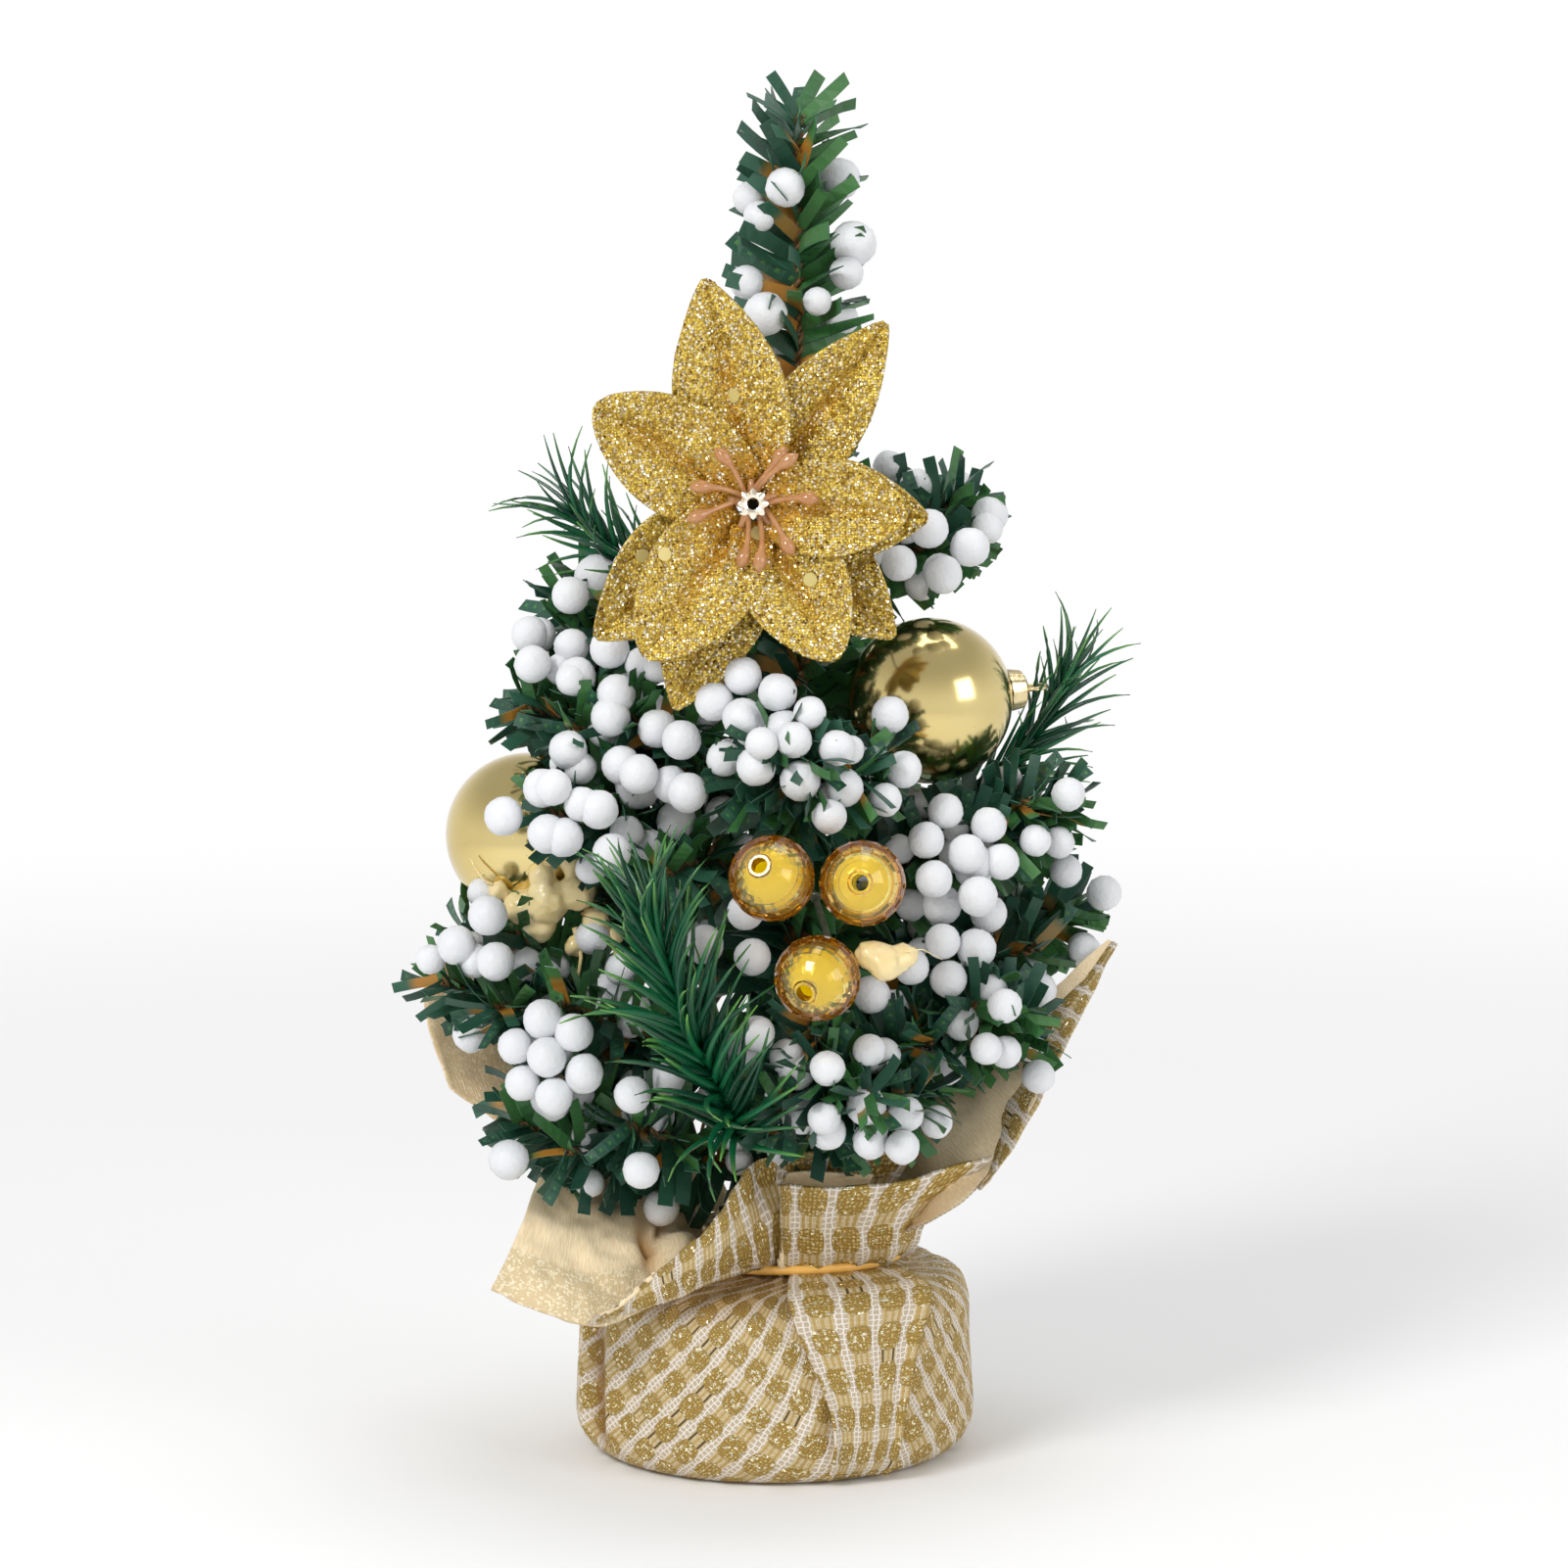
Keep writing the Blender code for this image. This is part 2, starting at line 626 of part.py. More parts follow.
def make_bauble(name, centre, way):
    """A blown ball with a short open neck, and a pressed cap with a wire loop."""
    frame = frame_at(name + "_middle", centre, way)
    bore = BALL_NECK - BALL_WALL
    lip = math.degrees(math.acos(BALL_NECK / BALL_RADIUS))
    neck_top = BALL_RADIUS + BALL_NECK_LENGTH
    inner = BALL_RADIUS - BALL_WALL
    mouth = math.degrees(math.acos(bore / inner))
    profile = [(bore, neck_top), (BALL_NECK, neck_top)] + arc(BALL_RADIUS, lip, -90, 8)
    profile += arc(inner, -90, mouth, 5)
    turned(name, profile, 16, GOLD, frame).matrix_local = Matrix.Rotation(math.radians(90), 4, "Y")

    hollow = BALL_NECK + GAP
    outer = hollow + CAP_WALL
    seat = math.sqrt(BALL_RADIUS**2 - outer**2) + GAP
    roof = max(neck_top + GAP, seat + CAP_SKIRT - CAP_WALL)
    skirt = [(0.0, roof + CAP_WALL), (outer, roof + CAP_WALL), (outer, seat), (hollow, seat)]
    crown = turned(name + "_crown", skirt + [(hollow, roof), (0.0, roof)], 12, None)
    ring = [
        Vector((LOOP_RADIUS * math.cos(a), 0, roof + CAP_WALL + LOOP_RADIUS * (0.8 + math.sin(a))))
        for a in (math.radians(-65 + 310 * k / 9) for k in range(10))
    ]
    loop = tube(name + "_loop", ring, LOOP_WIRE)
    cap = combine(name + "_cap", [crown, loop], BRASS)
    cap.parent = frame
    cap.matrix_local = Matrix.Rotation(math.radians(90), 4, "Y")
    return frame


def make_beads():
    """Three clear faceted beads with an opaque core in each, on a wire with three arms."""
    bore_angle = math.degrees(math.acos(BEAD_BORE / BEAD_RADIUS))
    hollow = BEAD_RADIUS - BEAD_WALL
    hollow_angle = math.degrees(math.acos(BEAD_BORE / hollow))
    core = hollow * (1 - BEAD_ROOM)
    core_angle = math.degrees(math.acos(BEAD_BORE / core))
    middle = Vector((TRUNK_OFFSET + 2.3 * MM, -BEAD_REACH - BEAD_RADIUS, on_trunk(BEAD_SHARE) - 4 * MM))
    root = Vector((TRUNK_OFFSET, -TRUNK_RADIUS - WINDING - GAP, middle.z))
    knot = Vector((middle.x, middle.y * 0.62, middle.z))
    wires = [tube("bead_wire_root", [root, root.lerp(knot, 0.5), knot], BEAD_WIRE)]
    wires.append(ball("bead_wire_knot", knot, BEAD_WIRE * 1.6))
    for k, (place, way) in enumerate(BEADS):
        centre = middle + Vector((place[0], 0, place[1])) * BEAD_RADIUS / 6
        axis = Vector(way).normalized()
        frame = frame_at(f"bead_{k + 1}_middle", centre, axis)
        turn = Matrix.Rotation(math.radians(90), 4, "Y")
        outside = arc(BEAD_RADIUS, bore_angle, -bore_angle, 7)
        inside = arc(hollow, -hollow_angle, hollow_angle, 4)
        turned(f"bead_shell_{k + 1}", outside + inside, 12, AMBER, frame).matrix_local = turn
        turned(f"bead_core_{k + 1}", arc(core, core_angle, -core_angle, 6), 10, YELLOW, frame).matrix_local = turn
        inside_end = centre - axis * (BEAD_RADIUS - 1.2 * MM)
        outside_end = centre - axis * (BEAD_RADIUS + 2.2 * MM)
        wires.append(tube(f"bead_wire_{k}", [knot, outside_end, inside_end], BEAD_WIRE))
    combine("bead_wires", wires, STEEL)
    return middle


def make_glue(name, centre, radius):
    ball(name, centre, radius).data.materials.append(GLUE)


def make_sprig(name, line, needles, reach, parent=None):
    """A moulded pine sprig: a stem with needles that lean towards its tip, set round it in a spiral."""
    stem = tube(name + "_stem", line, SPRIG_STEM)
    pieces = [stem]
    first = 1 if len(line) > 3 else 0
    run = line[first:]
    lengths = [(b - a).length for a, b in zip(run, run[1:])]
    for k in range(needles):
        want = sum(lengths) * (0.12 + 0.86 * k / (needles - 1))
        n = 0
        while n < len(lengths) - 1 and want > lengths[n]:
            want -= lengths[n]
            n += 1
        way = (run[n + 1] - run[n]).normalized()
        place = run[n] + way * min(want, lengths[n] * 0.98)
        side = way.orthogonal().normalized()
        side.rotate(Matrix.Rotation(2.4 * k, 3, way))
        tip = place + (side * 0.8 + way * 0.9).normalized() * reach
        pieces.append(rod(f"{name}_{k}", place, tip, NEEDLE_WIDTH, NEEDLE_WIDTH / 3, segments=4))
    sprig = combine(name, pieces, PINE)
    sprig.parent = parent


def make_ornaments(frames):
    ball_left = Vector((-39.5 * MM + TRUNK_OFFSET, -2.0 * MM, on_trunk(0.50)))
    make_bauble("ball_left", ball_left, (0.55, 0.45, -0.7))
    make_glue("glue_ball_left", ball_left + Vector((0.35, -0.5, -0.4)).normalized() * GLUE_STAND, GLUE_RADIUS)
    ball_right = Vector((18.7 * MM + TRUNK_OFFSET, -6.0 * MM, on_trunk(0.675)))
    make_bauble("ball_right", ball_right, (1.0, 0.35, 0.1))
    middle = make_beads()
    make_glue("glue_beads", middle + Vector((9.5, 1.0, -6.5)) * BEAD_RADIUS / 6, GLUE_RADIUS)

    way = Vector((math.cos(SPRIG_AZIMUTH), math.sin(SPRIG_AZIMUTH), 0))
    root = Vector((TRUNK_OFFSET, 0, on_trunk(0.14))) + way * (TRUNK_RADIUS + WINDING + GAP + SPRIG_STEM)
    front = [
        root,
        root + way * 26 * MM + Vector((0, 0, 1)) * MM,
        root + way * 34 * MM + Vector((2, 0, 8)) * MM,
        root + way * 38 * MM + Vector((-4, -3, 42)) * MM,
    ]
    make_sprig("pine_sprig_front", front, 14, 9 * MM)
    side = TINSEL_RADIUS + GAP + SPRIG_STEM
    left = [Vector((10, 0, 0)) * MM, Vector((16, 0, 8)) * MM, Vector((30, 0, 20)) * MM]
    left = [point + Vector((0, 0, side)) for point in left]
    make_sprig("pine_sprig_left", left, 12, 8 * MM, frames["left_top"])
    right = [Vector((22, 6, 0)) * MM, Vector((32, 9, 3)) * MM, Vector((46, 12, 8)) * MM]
    right = [point + Vector((0, 0, side)) for point in right]
    make_sprig("pine_sprig_right", right, 12, 8 * MM, frames["right_mid"])


for old in list(bpy.data.objects):
    bpy.data.objects.remove(old)

TREE = new_collection("tabletop_tree")
GUIDES = new_collection("guides")

PLASTER = new_material("plaster", (0.86, 0.84, 0.79), 0.9)
CLOTH_GOLD = new_material("cloth_gold", (0.62, 0.47, 0.20), 0.55, 0.3)
CLOTH_LINING = new_material("cloth_lining", (0.80, 0.67, 0.47), 0.85)
RUBBER = new_material("rubber", (0.72, 0.42, 0.10), 0.45)
BARK = new_material("trunk_tape", (0.20, 0.12, 0.06), 0.8)
TINSEL = new_material("tinsel", (0.035, 0.12, 0.055), 0.45)
FOAM = new_material("foam", (0.90, 0.90, 0.92), 0.6)
GLITTER = new_material("glitter", (0.70, 0.50, 0.12), 0.35, 0.6)
COPPER = new_material("stamen_plastic", (0.70, 0.40, 0.18), 0.2, 0.4)
BRASS = new_material("brass", (0.85, 0.68, 0.35), 0.25, 1.0)
STEEL = new_material("wire", (0.45, 0.45, 0.45), 0.35, 1.0)
GOLD = new_material("gold_plate", (0.83, 0.69, 0.36), 0.1, 1.0)
AMBER = new_material("amber_acrylic", (0.85, 0.40, 0.03), 0.05, 0.0, 0.5)
YELLOW = new_material("bead_core", (0.85, 0.68, 0.02), 0.3)
PINE = new_material("pine_plastic", (0.02, 0.20, 0.09), 0.35)
GLUE = new_material("hot_glue", (0.85, 0.78, 0.55), 0.2, 0.0, 0.7)

make_base()
make_tail()
make_corners()
make_trunk()
SECTION = star_outline()
FRAMES = make_branches(SECTION)
make_leader(SECTION)
make_flower()
make_ornaments(FRAMES)
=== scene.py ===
"""An artificial tabletop tree: tinsel stems with foam berries, a glitter flower, plated balls, bead-in-bead
ornaments and moulded pine, standing in a weighted base that is wrapped in knitted lurex cloth."""

import json
import math
import random

import bpy
import numpy as np
from mathutils import Matrix, Quaternion, Vector, noise
from mathutils.bvhtree import BVHTree

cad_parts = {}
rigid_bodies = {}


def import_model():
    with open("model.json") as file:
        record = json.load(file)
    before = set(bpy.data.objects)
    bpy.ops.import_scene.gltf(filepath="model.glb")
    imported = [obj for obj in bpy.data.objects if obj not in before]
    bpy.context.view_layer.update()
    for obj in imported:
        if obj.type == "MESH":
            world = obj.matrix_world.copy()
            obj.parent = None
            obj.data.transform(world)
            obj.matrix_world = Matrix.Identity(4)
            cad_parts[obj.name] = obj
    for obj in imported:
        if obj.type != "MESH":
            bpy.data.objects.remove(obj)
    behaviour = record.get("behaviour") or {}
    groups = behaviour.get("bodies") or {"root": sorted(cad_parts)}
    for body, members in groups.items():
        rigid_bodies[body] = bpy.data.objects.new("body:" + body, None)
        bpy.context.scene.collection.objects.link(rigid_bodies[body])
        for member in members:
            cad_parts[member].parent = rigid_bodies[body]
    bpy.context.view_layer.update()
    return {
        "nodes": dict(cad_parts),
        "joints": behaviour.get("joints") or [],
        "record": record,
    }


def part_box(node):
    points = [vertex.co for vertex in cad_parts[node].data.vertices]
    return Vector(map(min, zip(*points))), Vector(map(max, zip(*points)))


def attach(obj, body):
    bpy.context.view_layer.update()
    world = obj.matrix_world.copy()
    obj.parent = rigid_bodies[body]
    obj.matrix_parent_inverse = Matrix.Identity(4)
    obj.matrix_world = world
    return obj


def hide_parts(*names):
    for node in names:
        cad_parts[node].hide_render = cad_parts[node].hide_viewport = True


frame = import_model()
MM = 0.001

# --- camera -------------------------------------------------------------------------------------------------
# A long lens, straight in front of the tree and about as high as its top, looking down at the middle.


def aim(obj, target):
    obj.rotation_euler = (Vector(target) - obj.location).to_track_quat("-Z", "Y").to_euler()


camera = bpy.data.objects.new("camera", bpy.data.cameras.new("camera"))
bpy.context.scene.collection.objects.link(camera)
bpy.context.scene.camera = camera
camera.data.lens = 121.8
camera.data.sensor_width = 36.0
camera.location = (0.0014, -0.770, 0.195)
aim(camera, (0.0014, 0.0, 0.0984))

# --- weight -------------------------------------------------------------------------------------------------
# A puck of cast plaster that the trunk stands in.  The cloth hides it, so the plain solid stays and only
# gets its dry, slightly mottled finish.


def new_material(name, values):
    """A Principled material whose own sockets take the values."""
    made = bpy.data.materials.new(name)
    made.use_nodes = True
    shader = made.node_tree.nodes["Principled BSDF"]
    for key, value in values.items():
        shader.inputs[key].default_value = value
    return made, made.node_tree, shader


def add(tree, kind, inputs=None, **settings):
    """A node with its settings, and each input linked or set."""
    node = tree.nodes.new(kind)
    for key, value in settings.items():
        setattr(node, key, value)
    for key, value in (inputs or {}).items():
        if isinstance(value, bpy.types.NodeSocket):
            tree.links.new(value, node.inputs[key])
        else:
            node.inputs[key].default_value = value
    return node


def sums(tree, operation, first, second=0.0, third=0.0):
    return add(tree, "ShaderNodeMath", {0: first, 1: second, 2: third}, operation=operation).outputs[0]


def shade(tree, share, first, second):
    """One colour or the other by share, 0 to 1."""
    return add(tree, "ShaderNodeMix", {0: share, 6: first, 7: second}, data_type="RGBA").outputs[2]


def step(tree, value, low, high):
    """0 where value is under low, 1 where it is over high, smooth between."""
    inputs = {"Value": value, "From Min": low, "From Max": high}
    return add(tree, "ShaderNodeMapRange", inputs, interpolation_type="SMOOTHSTEP").outputs[0]


def grain(tree, scale, place=None, detail=3.0):
    inputs = {"Scale": scale, "Detail": detail}
    if place is not None:
        inputs["Vector"] = place
    return add(tree, "ShaderNodeTexNoise", inputs).outputs[0]


def cells(tree, scale, place=None, feature="F1", randomness=1.0):
    inputs = {"Scale": scale, "Randomness": randomness}
    if place is not None:
        inputs["Vector"] = place
    return add(tree, "ShaderNodeTexVoronoi", inputs, feature=feature).outputs


def object_place(tree):
    return add(tree, "ShaderNodeTexCoord").outputs["Object"]


def bumped(tree, shader, height, distance, strength=1.0, normal=None):
    inputs = {"Height": height, "Distance": distance, "Strength": strength}
    if normal is not None:
        inputs["Normal"] = normal
    made = add(tree, "ShaderNodeBump", inputs).outputs[0]
    tree.links.new(made, shader.inputs["Normal"])
    return made


plaster, tree, shader = new_material("cast_plaster", {"Roughness": 0.92})
speck = grain(tree, 900.0, object_place(tree))
tree.links.new(shade(tree, speck, (0.80, 0.78, 0.72, 1), (0.90, 0.88, 0.84, 1)), shader.inputs["Base Color"])
bumped(tree, shader, speck, 0.0001)
puck = frame["nodes"]["plaster_puck"]
puck.data.materials.clear()
puck.data.materials.append(plaster)

# --- cloth --------------------------------------------------------------------------------------------------
# One square of knitted lurex, laid under the weight and drawn up round the trunk.  Its face has columns of
# ribbed gold pads on a cream net; its reverse is a soft beige felted backing.

COLUMN = 4.15 * MM
ROW = 5.5 * MM
KNIT = 0.45 * MM  # thickness


def make_lurex():
    made, tree, shader = new_material("knitted_lurex", {"Specular IOR Level": 0.5})
    uv = add(tree, "ShaderNodeUVMap", uv_map="cloth").outputs[0]
    place = add(tree, "ShaderNodeVectorMath", {0: uv, "Scale": 1000.0}, operation="SCALE").outputs[0]
    u, v, _ = add(tree, "ShaderNodeSeparateXYZ", {0: place}).outputs
    pitch, row = COLUMN / MM, ROW / MM
    across = sums(tree, "MULTIPLY", sums(tree, "SUBTRACT", sums(tree, "FRACT", sums(tree, "DIVIDE", u, pitch)), 0.5), pitch)
    along = sums(tree, "MULTIPLY", sums(tree, "SUBTRACT", sums(tree, "FRACT", sums(tree, "DIVIDE", v, row)), 0.5), row)
    wide = sums(tree, "ABSOLUTE", across)
    tall = sums(tree, "ABSOLUTE", along)
    corner = sums(
        tree, "ADD", sums(tree, "POWER", sums(tree, "DIVIDE", wide, 1.62), 3.0), sums(tree, "POWER", sums(tree, "DIVIDE", tall, 1.95), 3.0)
    )
    pad = step(tree, corner, 1.15, 0.85)
    bead = cells(tree, 2.1, place, randomness=0.45)
    round_bead = step(tree, bead["Distance"], 0.52, 0.2)
    thread = step(tree, sums(tree, "COSINE", sums(tree, "MULTIPLY", across, math.tau / 0.85)), 0.1, 0.6)
    ladder = sums(tree, "MULTIPLY", step(tree, wide, 1.38, 1.20), sums(tree, "SUBTRACT", 1.0, pad))
    rung = sums(tree, "MULTIPLY", ladder, thread)
    net_edge = cells(tree, 1.35, place, "DISTANCE_TO_EDGE", 0.3)["Distance"]
    net = step(tree, net_edge, 0.20, 0.10)
    flash = add(tree, "ShaderNodeSeparateColor", {0: cells(tree, 2.6, place)["Color"]}).outputs
    tone = grain(tree, 0.35, place)
    bright = add(tree, "ShaderNodeAttribute", attribute_name="bright").outputs["Fac"]
    # Painted glints: random specks on the pads are painted a near-white gold and made more metallic; the 'bright' mark
    # adds more of them where the cloth would catch the light.
    spangle = sums(tree, "MULTIPLY_ADD", bright, 0.16, flash[0])
    # Each little bead is painted light in its middle and dark at its edge: painted shade between the rounded beads.
    gold = shade(tree, round_bead, (0.36, 0.22, 0.035, 1), (0.80, 0.60, 0.22, 1))
    gold = shade(tree, step(tree, spangle, 0.86, 0.90), gold, (1.0, 0.92, 0.66, 1))
    ground = shade(tree, net, (0.52, 0.42, 0.30, 1), (0.86, 0.80, 0.72, 1))
    ground = shade(tree, sums(tree, "MULTIPLY", ladder, 0.75), ground, (0.60, 0.45, 0.20, 1))
    ground = shade(tree, sums(tree, "MULTIPLY", rung, 0.85), ground, (0.44, 0.29, 0.07, 1))
    colour = shade(tree, pad, ground, gold)
    dash_row = add(tree, "ShaderNodeCombineXYZ", {0: sums(tree, "FLOOR", sums(tree, "DIVIDE", u, pitch)), 1: sums(tree, "ROUND", sums(tree, "DIVIDE", v, row))})
    lucky = add(tree, "ShaderNodeTexWhiteNoise", {"Vector": dash_row.outputs[0]}, noise_dimensions="3D").outputs["Value"]
    dash = sums(tree, "MULTIPLY", sums(tree, "MULTIPLY", rung, step(tree, wide, 0.6, 0.7)), step(tree, lucky, 0.80, 0.81))
    colour = shade(tree, dash, colour, (0.06, 0.035, 0.01, 1))
    colour = shade(tree, sums(tree, "MULTIPLY", tone, 0.2), colour, (0.45, 0.34, 0.16, 1))
    # Painted shade: the 'deep' mark darkens the face to amber brown where the cloth lies in shade, in creases, under
    # the roll and near the neck.
    deep = add(tree, "ShaderNodeAttribute", attribute_name="deep").outputs["Fac"]
    colour = shade(tree, sums(tree, "MULTIPLY", deep, 0.75), colour, (0.24, 0.10, 0.006, 1))
    tree.links.new(colour, shader.inputs["Base Color"])
    spark = sums(tree, "MULTIPLY", step(tree, spangle, 0.86, 0.90), pad)
    metal = sums(tree, "ADD", sums(tree, "MULTIPLY", pad, 0.32), sums(tree, "ADD", sums(tree, "MULTIPLY", rung, 0.25), sums(tree, "MULTIPLY", spark, 0.5)))
    tree.links.new(metal, shader.inputs["Metallic"])
    tree.links.new(step(tree, metal, -0.6, 1.1), sums_invert(tree, shader))
    height = sums(tree, "ADD", sums(tree, "MULTIPLY", pad, sums(tree, "ADD", 0.5, round_bead)), sums(tree, "MULTIPLY", sums(tree, "MAXIMUM", net, rung), 0.5))
    bumped(tree, shader, height, 0.00022)
    return made


def sums_invert(tree, shader):
    """An input that sets the roughness to one minus what it gets."""
    node = add(tree, "ShaderNodeMath", {0: 1.12}, operation="SUBTRACT")
    tree.links.new(node.outputs[0], shader.inputs["Roughness"])
    return node.inputs[1]


def make_backing():
    made, tree, shader = new_material(
        "felted_backing", {"Roughness": 0.85, "Sheen Weight": 0.25, "Sheen Roughness": 0.4}
    )
    uv = add(tree, "ShaderNodeUVMap", uv_map="cloth").outputs[0]
    place = add(tree, "ShaderNodeVectorMath", {0: uv, "Scale": 1000.0}, operation="SCALE").outputs[0]
    stretched = add(tree, "ShaderNodeMapping", {"Vector": place, "Scale": (0.5, 2.6, 1.0)}).outputs[0]
    fibre = grain(tree, 1.3, stretched, 4.0)
    cloud = grain(tree, 0.12, place)
    colour = shade(tree, step(tree, fibre, 0.3, 0.7), (0.78, 0.57, 0.31, 1), (0.92, 0.76, 0.50, 1))
    colour = shade(tree, sums(tree, "MULTIPLY", cloud, 0.5), colour, (0.94, 0.82, 0.60, 1))
    band = add(tree, "ShaderNodeAttribute", attribute_name="sheer").outputs["Fac"]
    glint = add(tree, "ShaderNodeSeparateColor", {0: cells(tree, 3.0, place)["Color"]}).outputs[0]
    thin = shade(tree, step(tree, glint, 0.55, 0.9), (0.62, 0.48, 0.27, 1), (0.86, 0.77, 0.56, 1))
    colour = shade(tree, sums(tree, "MULTIPLY", band, 0.8), colour, thin)
    # Painted shade: the 'deep' mark darkens the backing to brown in creases, near the neck and on the corner behind the
    # stems.
    deep = add(tree, "ShaderNodeAttribute", attribute_name="deep").outputs["Fac"]
    tree.links.new(shade(tree, sums(tree, "MULTIPLY", deep, 0.8), colour, (0.46, 0.21, 0.03, 1)), shader.inputs["Base Color"])
    bumped(tree, shader, fibre, 0.00012)
    return made


LUREX = make_lurex()
BACKING = make_backing()


def show(name, mesh, body, replaced=()):
    """Puts a finished mesh in the scene as a piece."""
    made = bpy.data.objects.new(name, mesh)
    bpy.context.scene.collection.objects.link(made)
    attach(made, body)
    if replaced:
        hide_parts(*replaced)
    return made


def plain_mesh(obj):
    """The mesh that an object's modifiers make, and the object itself is removed."""
    bpy.context.view_layer.update()
    graph = bpy.context.evaluated_depsgraph_get()
    made = bpy.data.meshes.new_from_object(obj.evaluated_get(graph), depsgraph=graph)
    old = obj.data
    bpy.data.objects.remove(obj)
    if old.users == 0:
        bpy.data.meshes.remove(old) if isinstance(old, bpy.types.Mesh) else bpy.data.curves.remove(old)
    return made


def sheet_mesh(name, surface, pattern, rows, columns, face, reverse, ring=False, marks=None):
    """Cloth on a grid: surface(s, t) gives the place and pattern(s, t) where it was on the flat cloth.  marks are
    shares from 0 to 1 that the cloth's materials read: how sheer it is, how much painted shade it gets in creases and
    hollows, and how many painted glints it shows."""
    across = columns if ring else columns + 1
    points = [surface(i / rows, j / columns) for i in range(rows + 1) for j in range(across)]
    quads, corners = [], []
    for i in range(rows):
        for j in range(columns):
            after = (j + 1) % across
            quads.append((i * across + j, i * across + after, (i + 1) * across + after, (i + 1) * across + j))
            corners += [(i, j), (i, j + 1), (i + 1, j + 1), (i + 1, j)]
    mesh = bpy.data.meshes.new(name)
    mesh.from_pydata(points, [], quads)
    layer = mesh.uv_layers.new(name="cloth")
    for loop, (i, j) in enumerate(corners):
        layer.data[loop].uv = pattern(i / rows, j / columns)
    for mark, amount in (marks or {}).items():
        values = [amount(i / rows, j / columns) for i in range(rows + 1) for j in range(across)]
        mesh.attributes.new(mark, "FLOAT", "POINT").data.foreach_set("value", values)
    mesh.materials.append(face)
    mesh.materials.append(reverse)
    mesh.shade_smooth()
    obj = bpy.data.objects.new(name, mesh)
    bpy.context.scene.collection.objects.link(obj)
    wall = obj.modifiers.new("wall", "SOLIDIFY")
    wall.thickness = KNIT
    wall.offset = -1.0
    wall.material_offset = 1
    wall.material_offset_rim = 0
    return plain_mesh(obj)


pouch_low, pouch_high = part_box("wrap_pouch")
band_low, band_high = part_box("rubber_band")
POUCH_RADIUS = (pouch_high.x - pouch_low.x) / 2
NECK_X = (band_low.x + band_high.x) / 2
BAND_Z = (band_low.z + band_high.z) / 2
NECK_RADIUS = (band_high.x - band_low.x) / 2 - 1.9 * MM
NECK_TOP = pouch_high.z
SHOULDER = 27.0 * MM
ROUNDING = 5.5 * MM
TAIL_AZIMUTH = math.radians(-66)
SLANT, FAN = math.radians(50), math.radians(32)  # the columns' lean from upright, and how soon they reach it


def arc(centre, radius, start, end, count):
    angles = (math.radians(start + (end - start) * k / count) for k in range(count + 1))
    return [(centre[0] + radius * math.cos(a), centre[1] + radius * math.sin(a)) for a in angles]


def along_line(points):
    """A function from 0 to 1 that walks a line of points at an even pace."""
    points = np.array(points, float)
    run = np.concatenate([[0], np.cumsum(np.linalg.norm(np.diff(points, axis=0), axis=1))])
    return lambda t: [float(np.interp(t * run[-1], run, points[:, k])) for k in range(points.shape[1])], run[-1]


def crest(angle):
    """A folded wave, round in its valleys and sharp on its crests, from -1 to 1."""
    return 1 - 2 * abs(math.sin(angle / 2)) ** 0.8


flat_rim = POUCH_RADIUS - ROUNDING
profile = [(0.05 * MM, 0.0), (flat_rim, 0.0)]
profile += arc((flat_rim, ROUNDING), ROUNDING, -80, 0, 5)
profile += arc((flat_rim - 0.4 * MM, SHOULDER - ROUNDING), ROUNDING, 10, 80, 5)
profile += [(NECK_RADIUS + 3.5 * MM, SHOULDER + 0.9 * MM), (NECK_RADIUS + 0.6 * MM, BAND_Z - 0.6 * MM)]
profile += [(NECK_RADIUS - 0.2 * MM, BAND_Z), (NECK_RADIUS + 0.5 * MM, BAND_Z + 1.5 * MM), (NECK_RADIUS + 0.8 * MM, NECK_TOP)]
pouch_line, pouch_run = along_line(profile)


def smooth(value, low, high):
    t = min(max((value - low) / (high - low), 0.0), 1.0)
    return t * t * (3 - 2 * t)


def crease_share(away, height):
    """The deep upright crease left of the front: 1 at its bottom."""
    left = away + math.radians(84) + 0.003 * (height / MM - 14)
    return math.exp(-((left / 0.055) ** 2)) * smooth(height, 2 * MM, 6 * MM) * (1 - 0.5 * smooth(height, 8 * MM, 24 * MM))


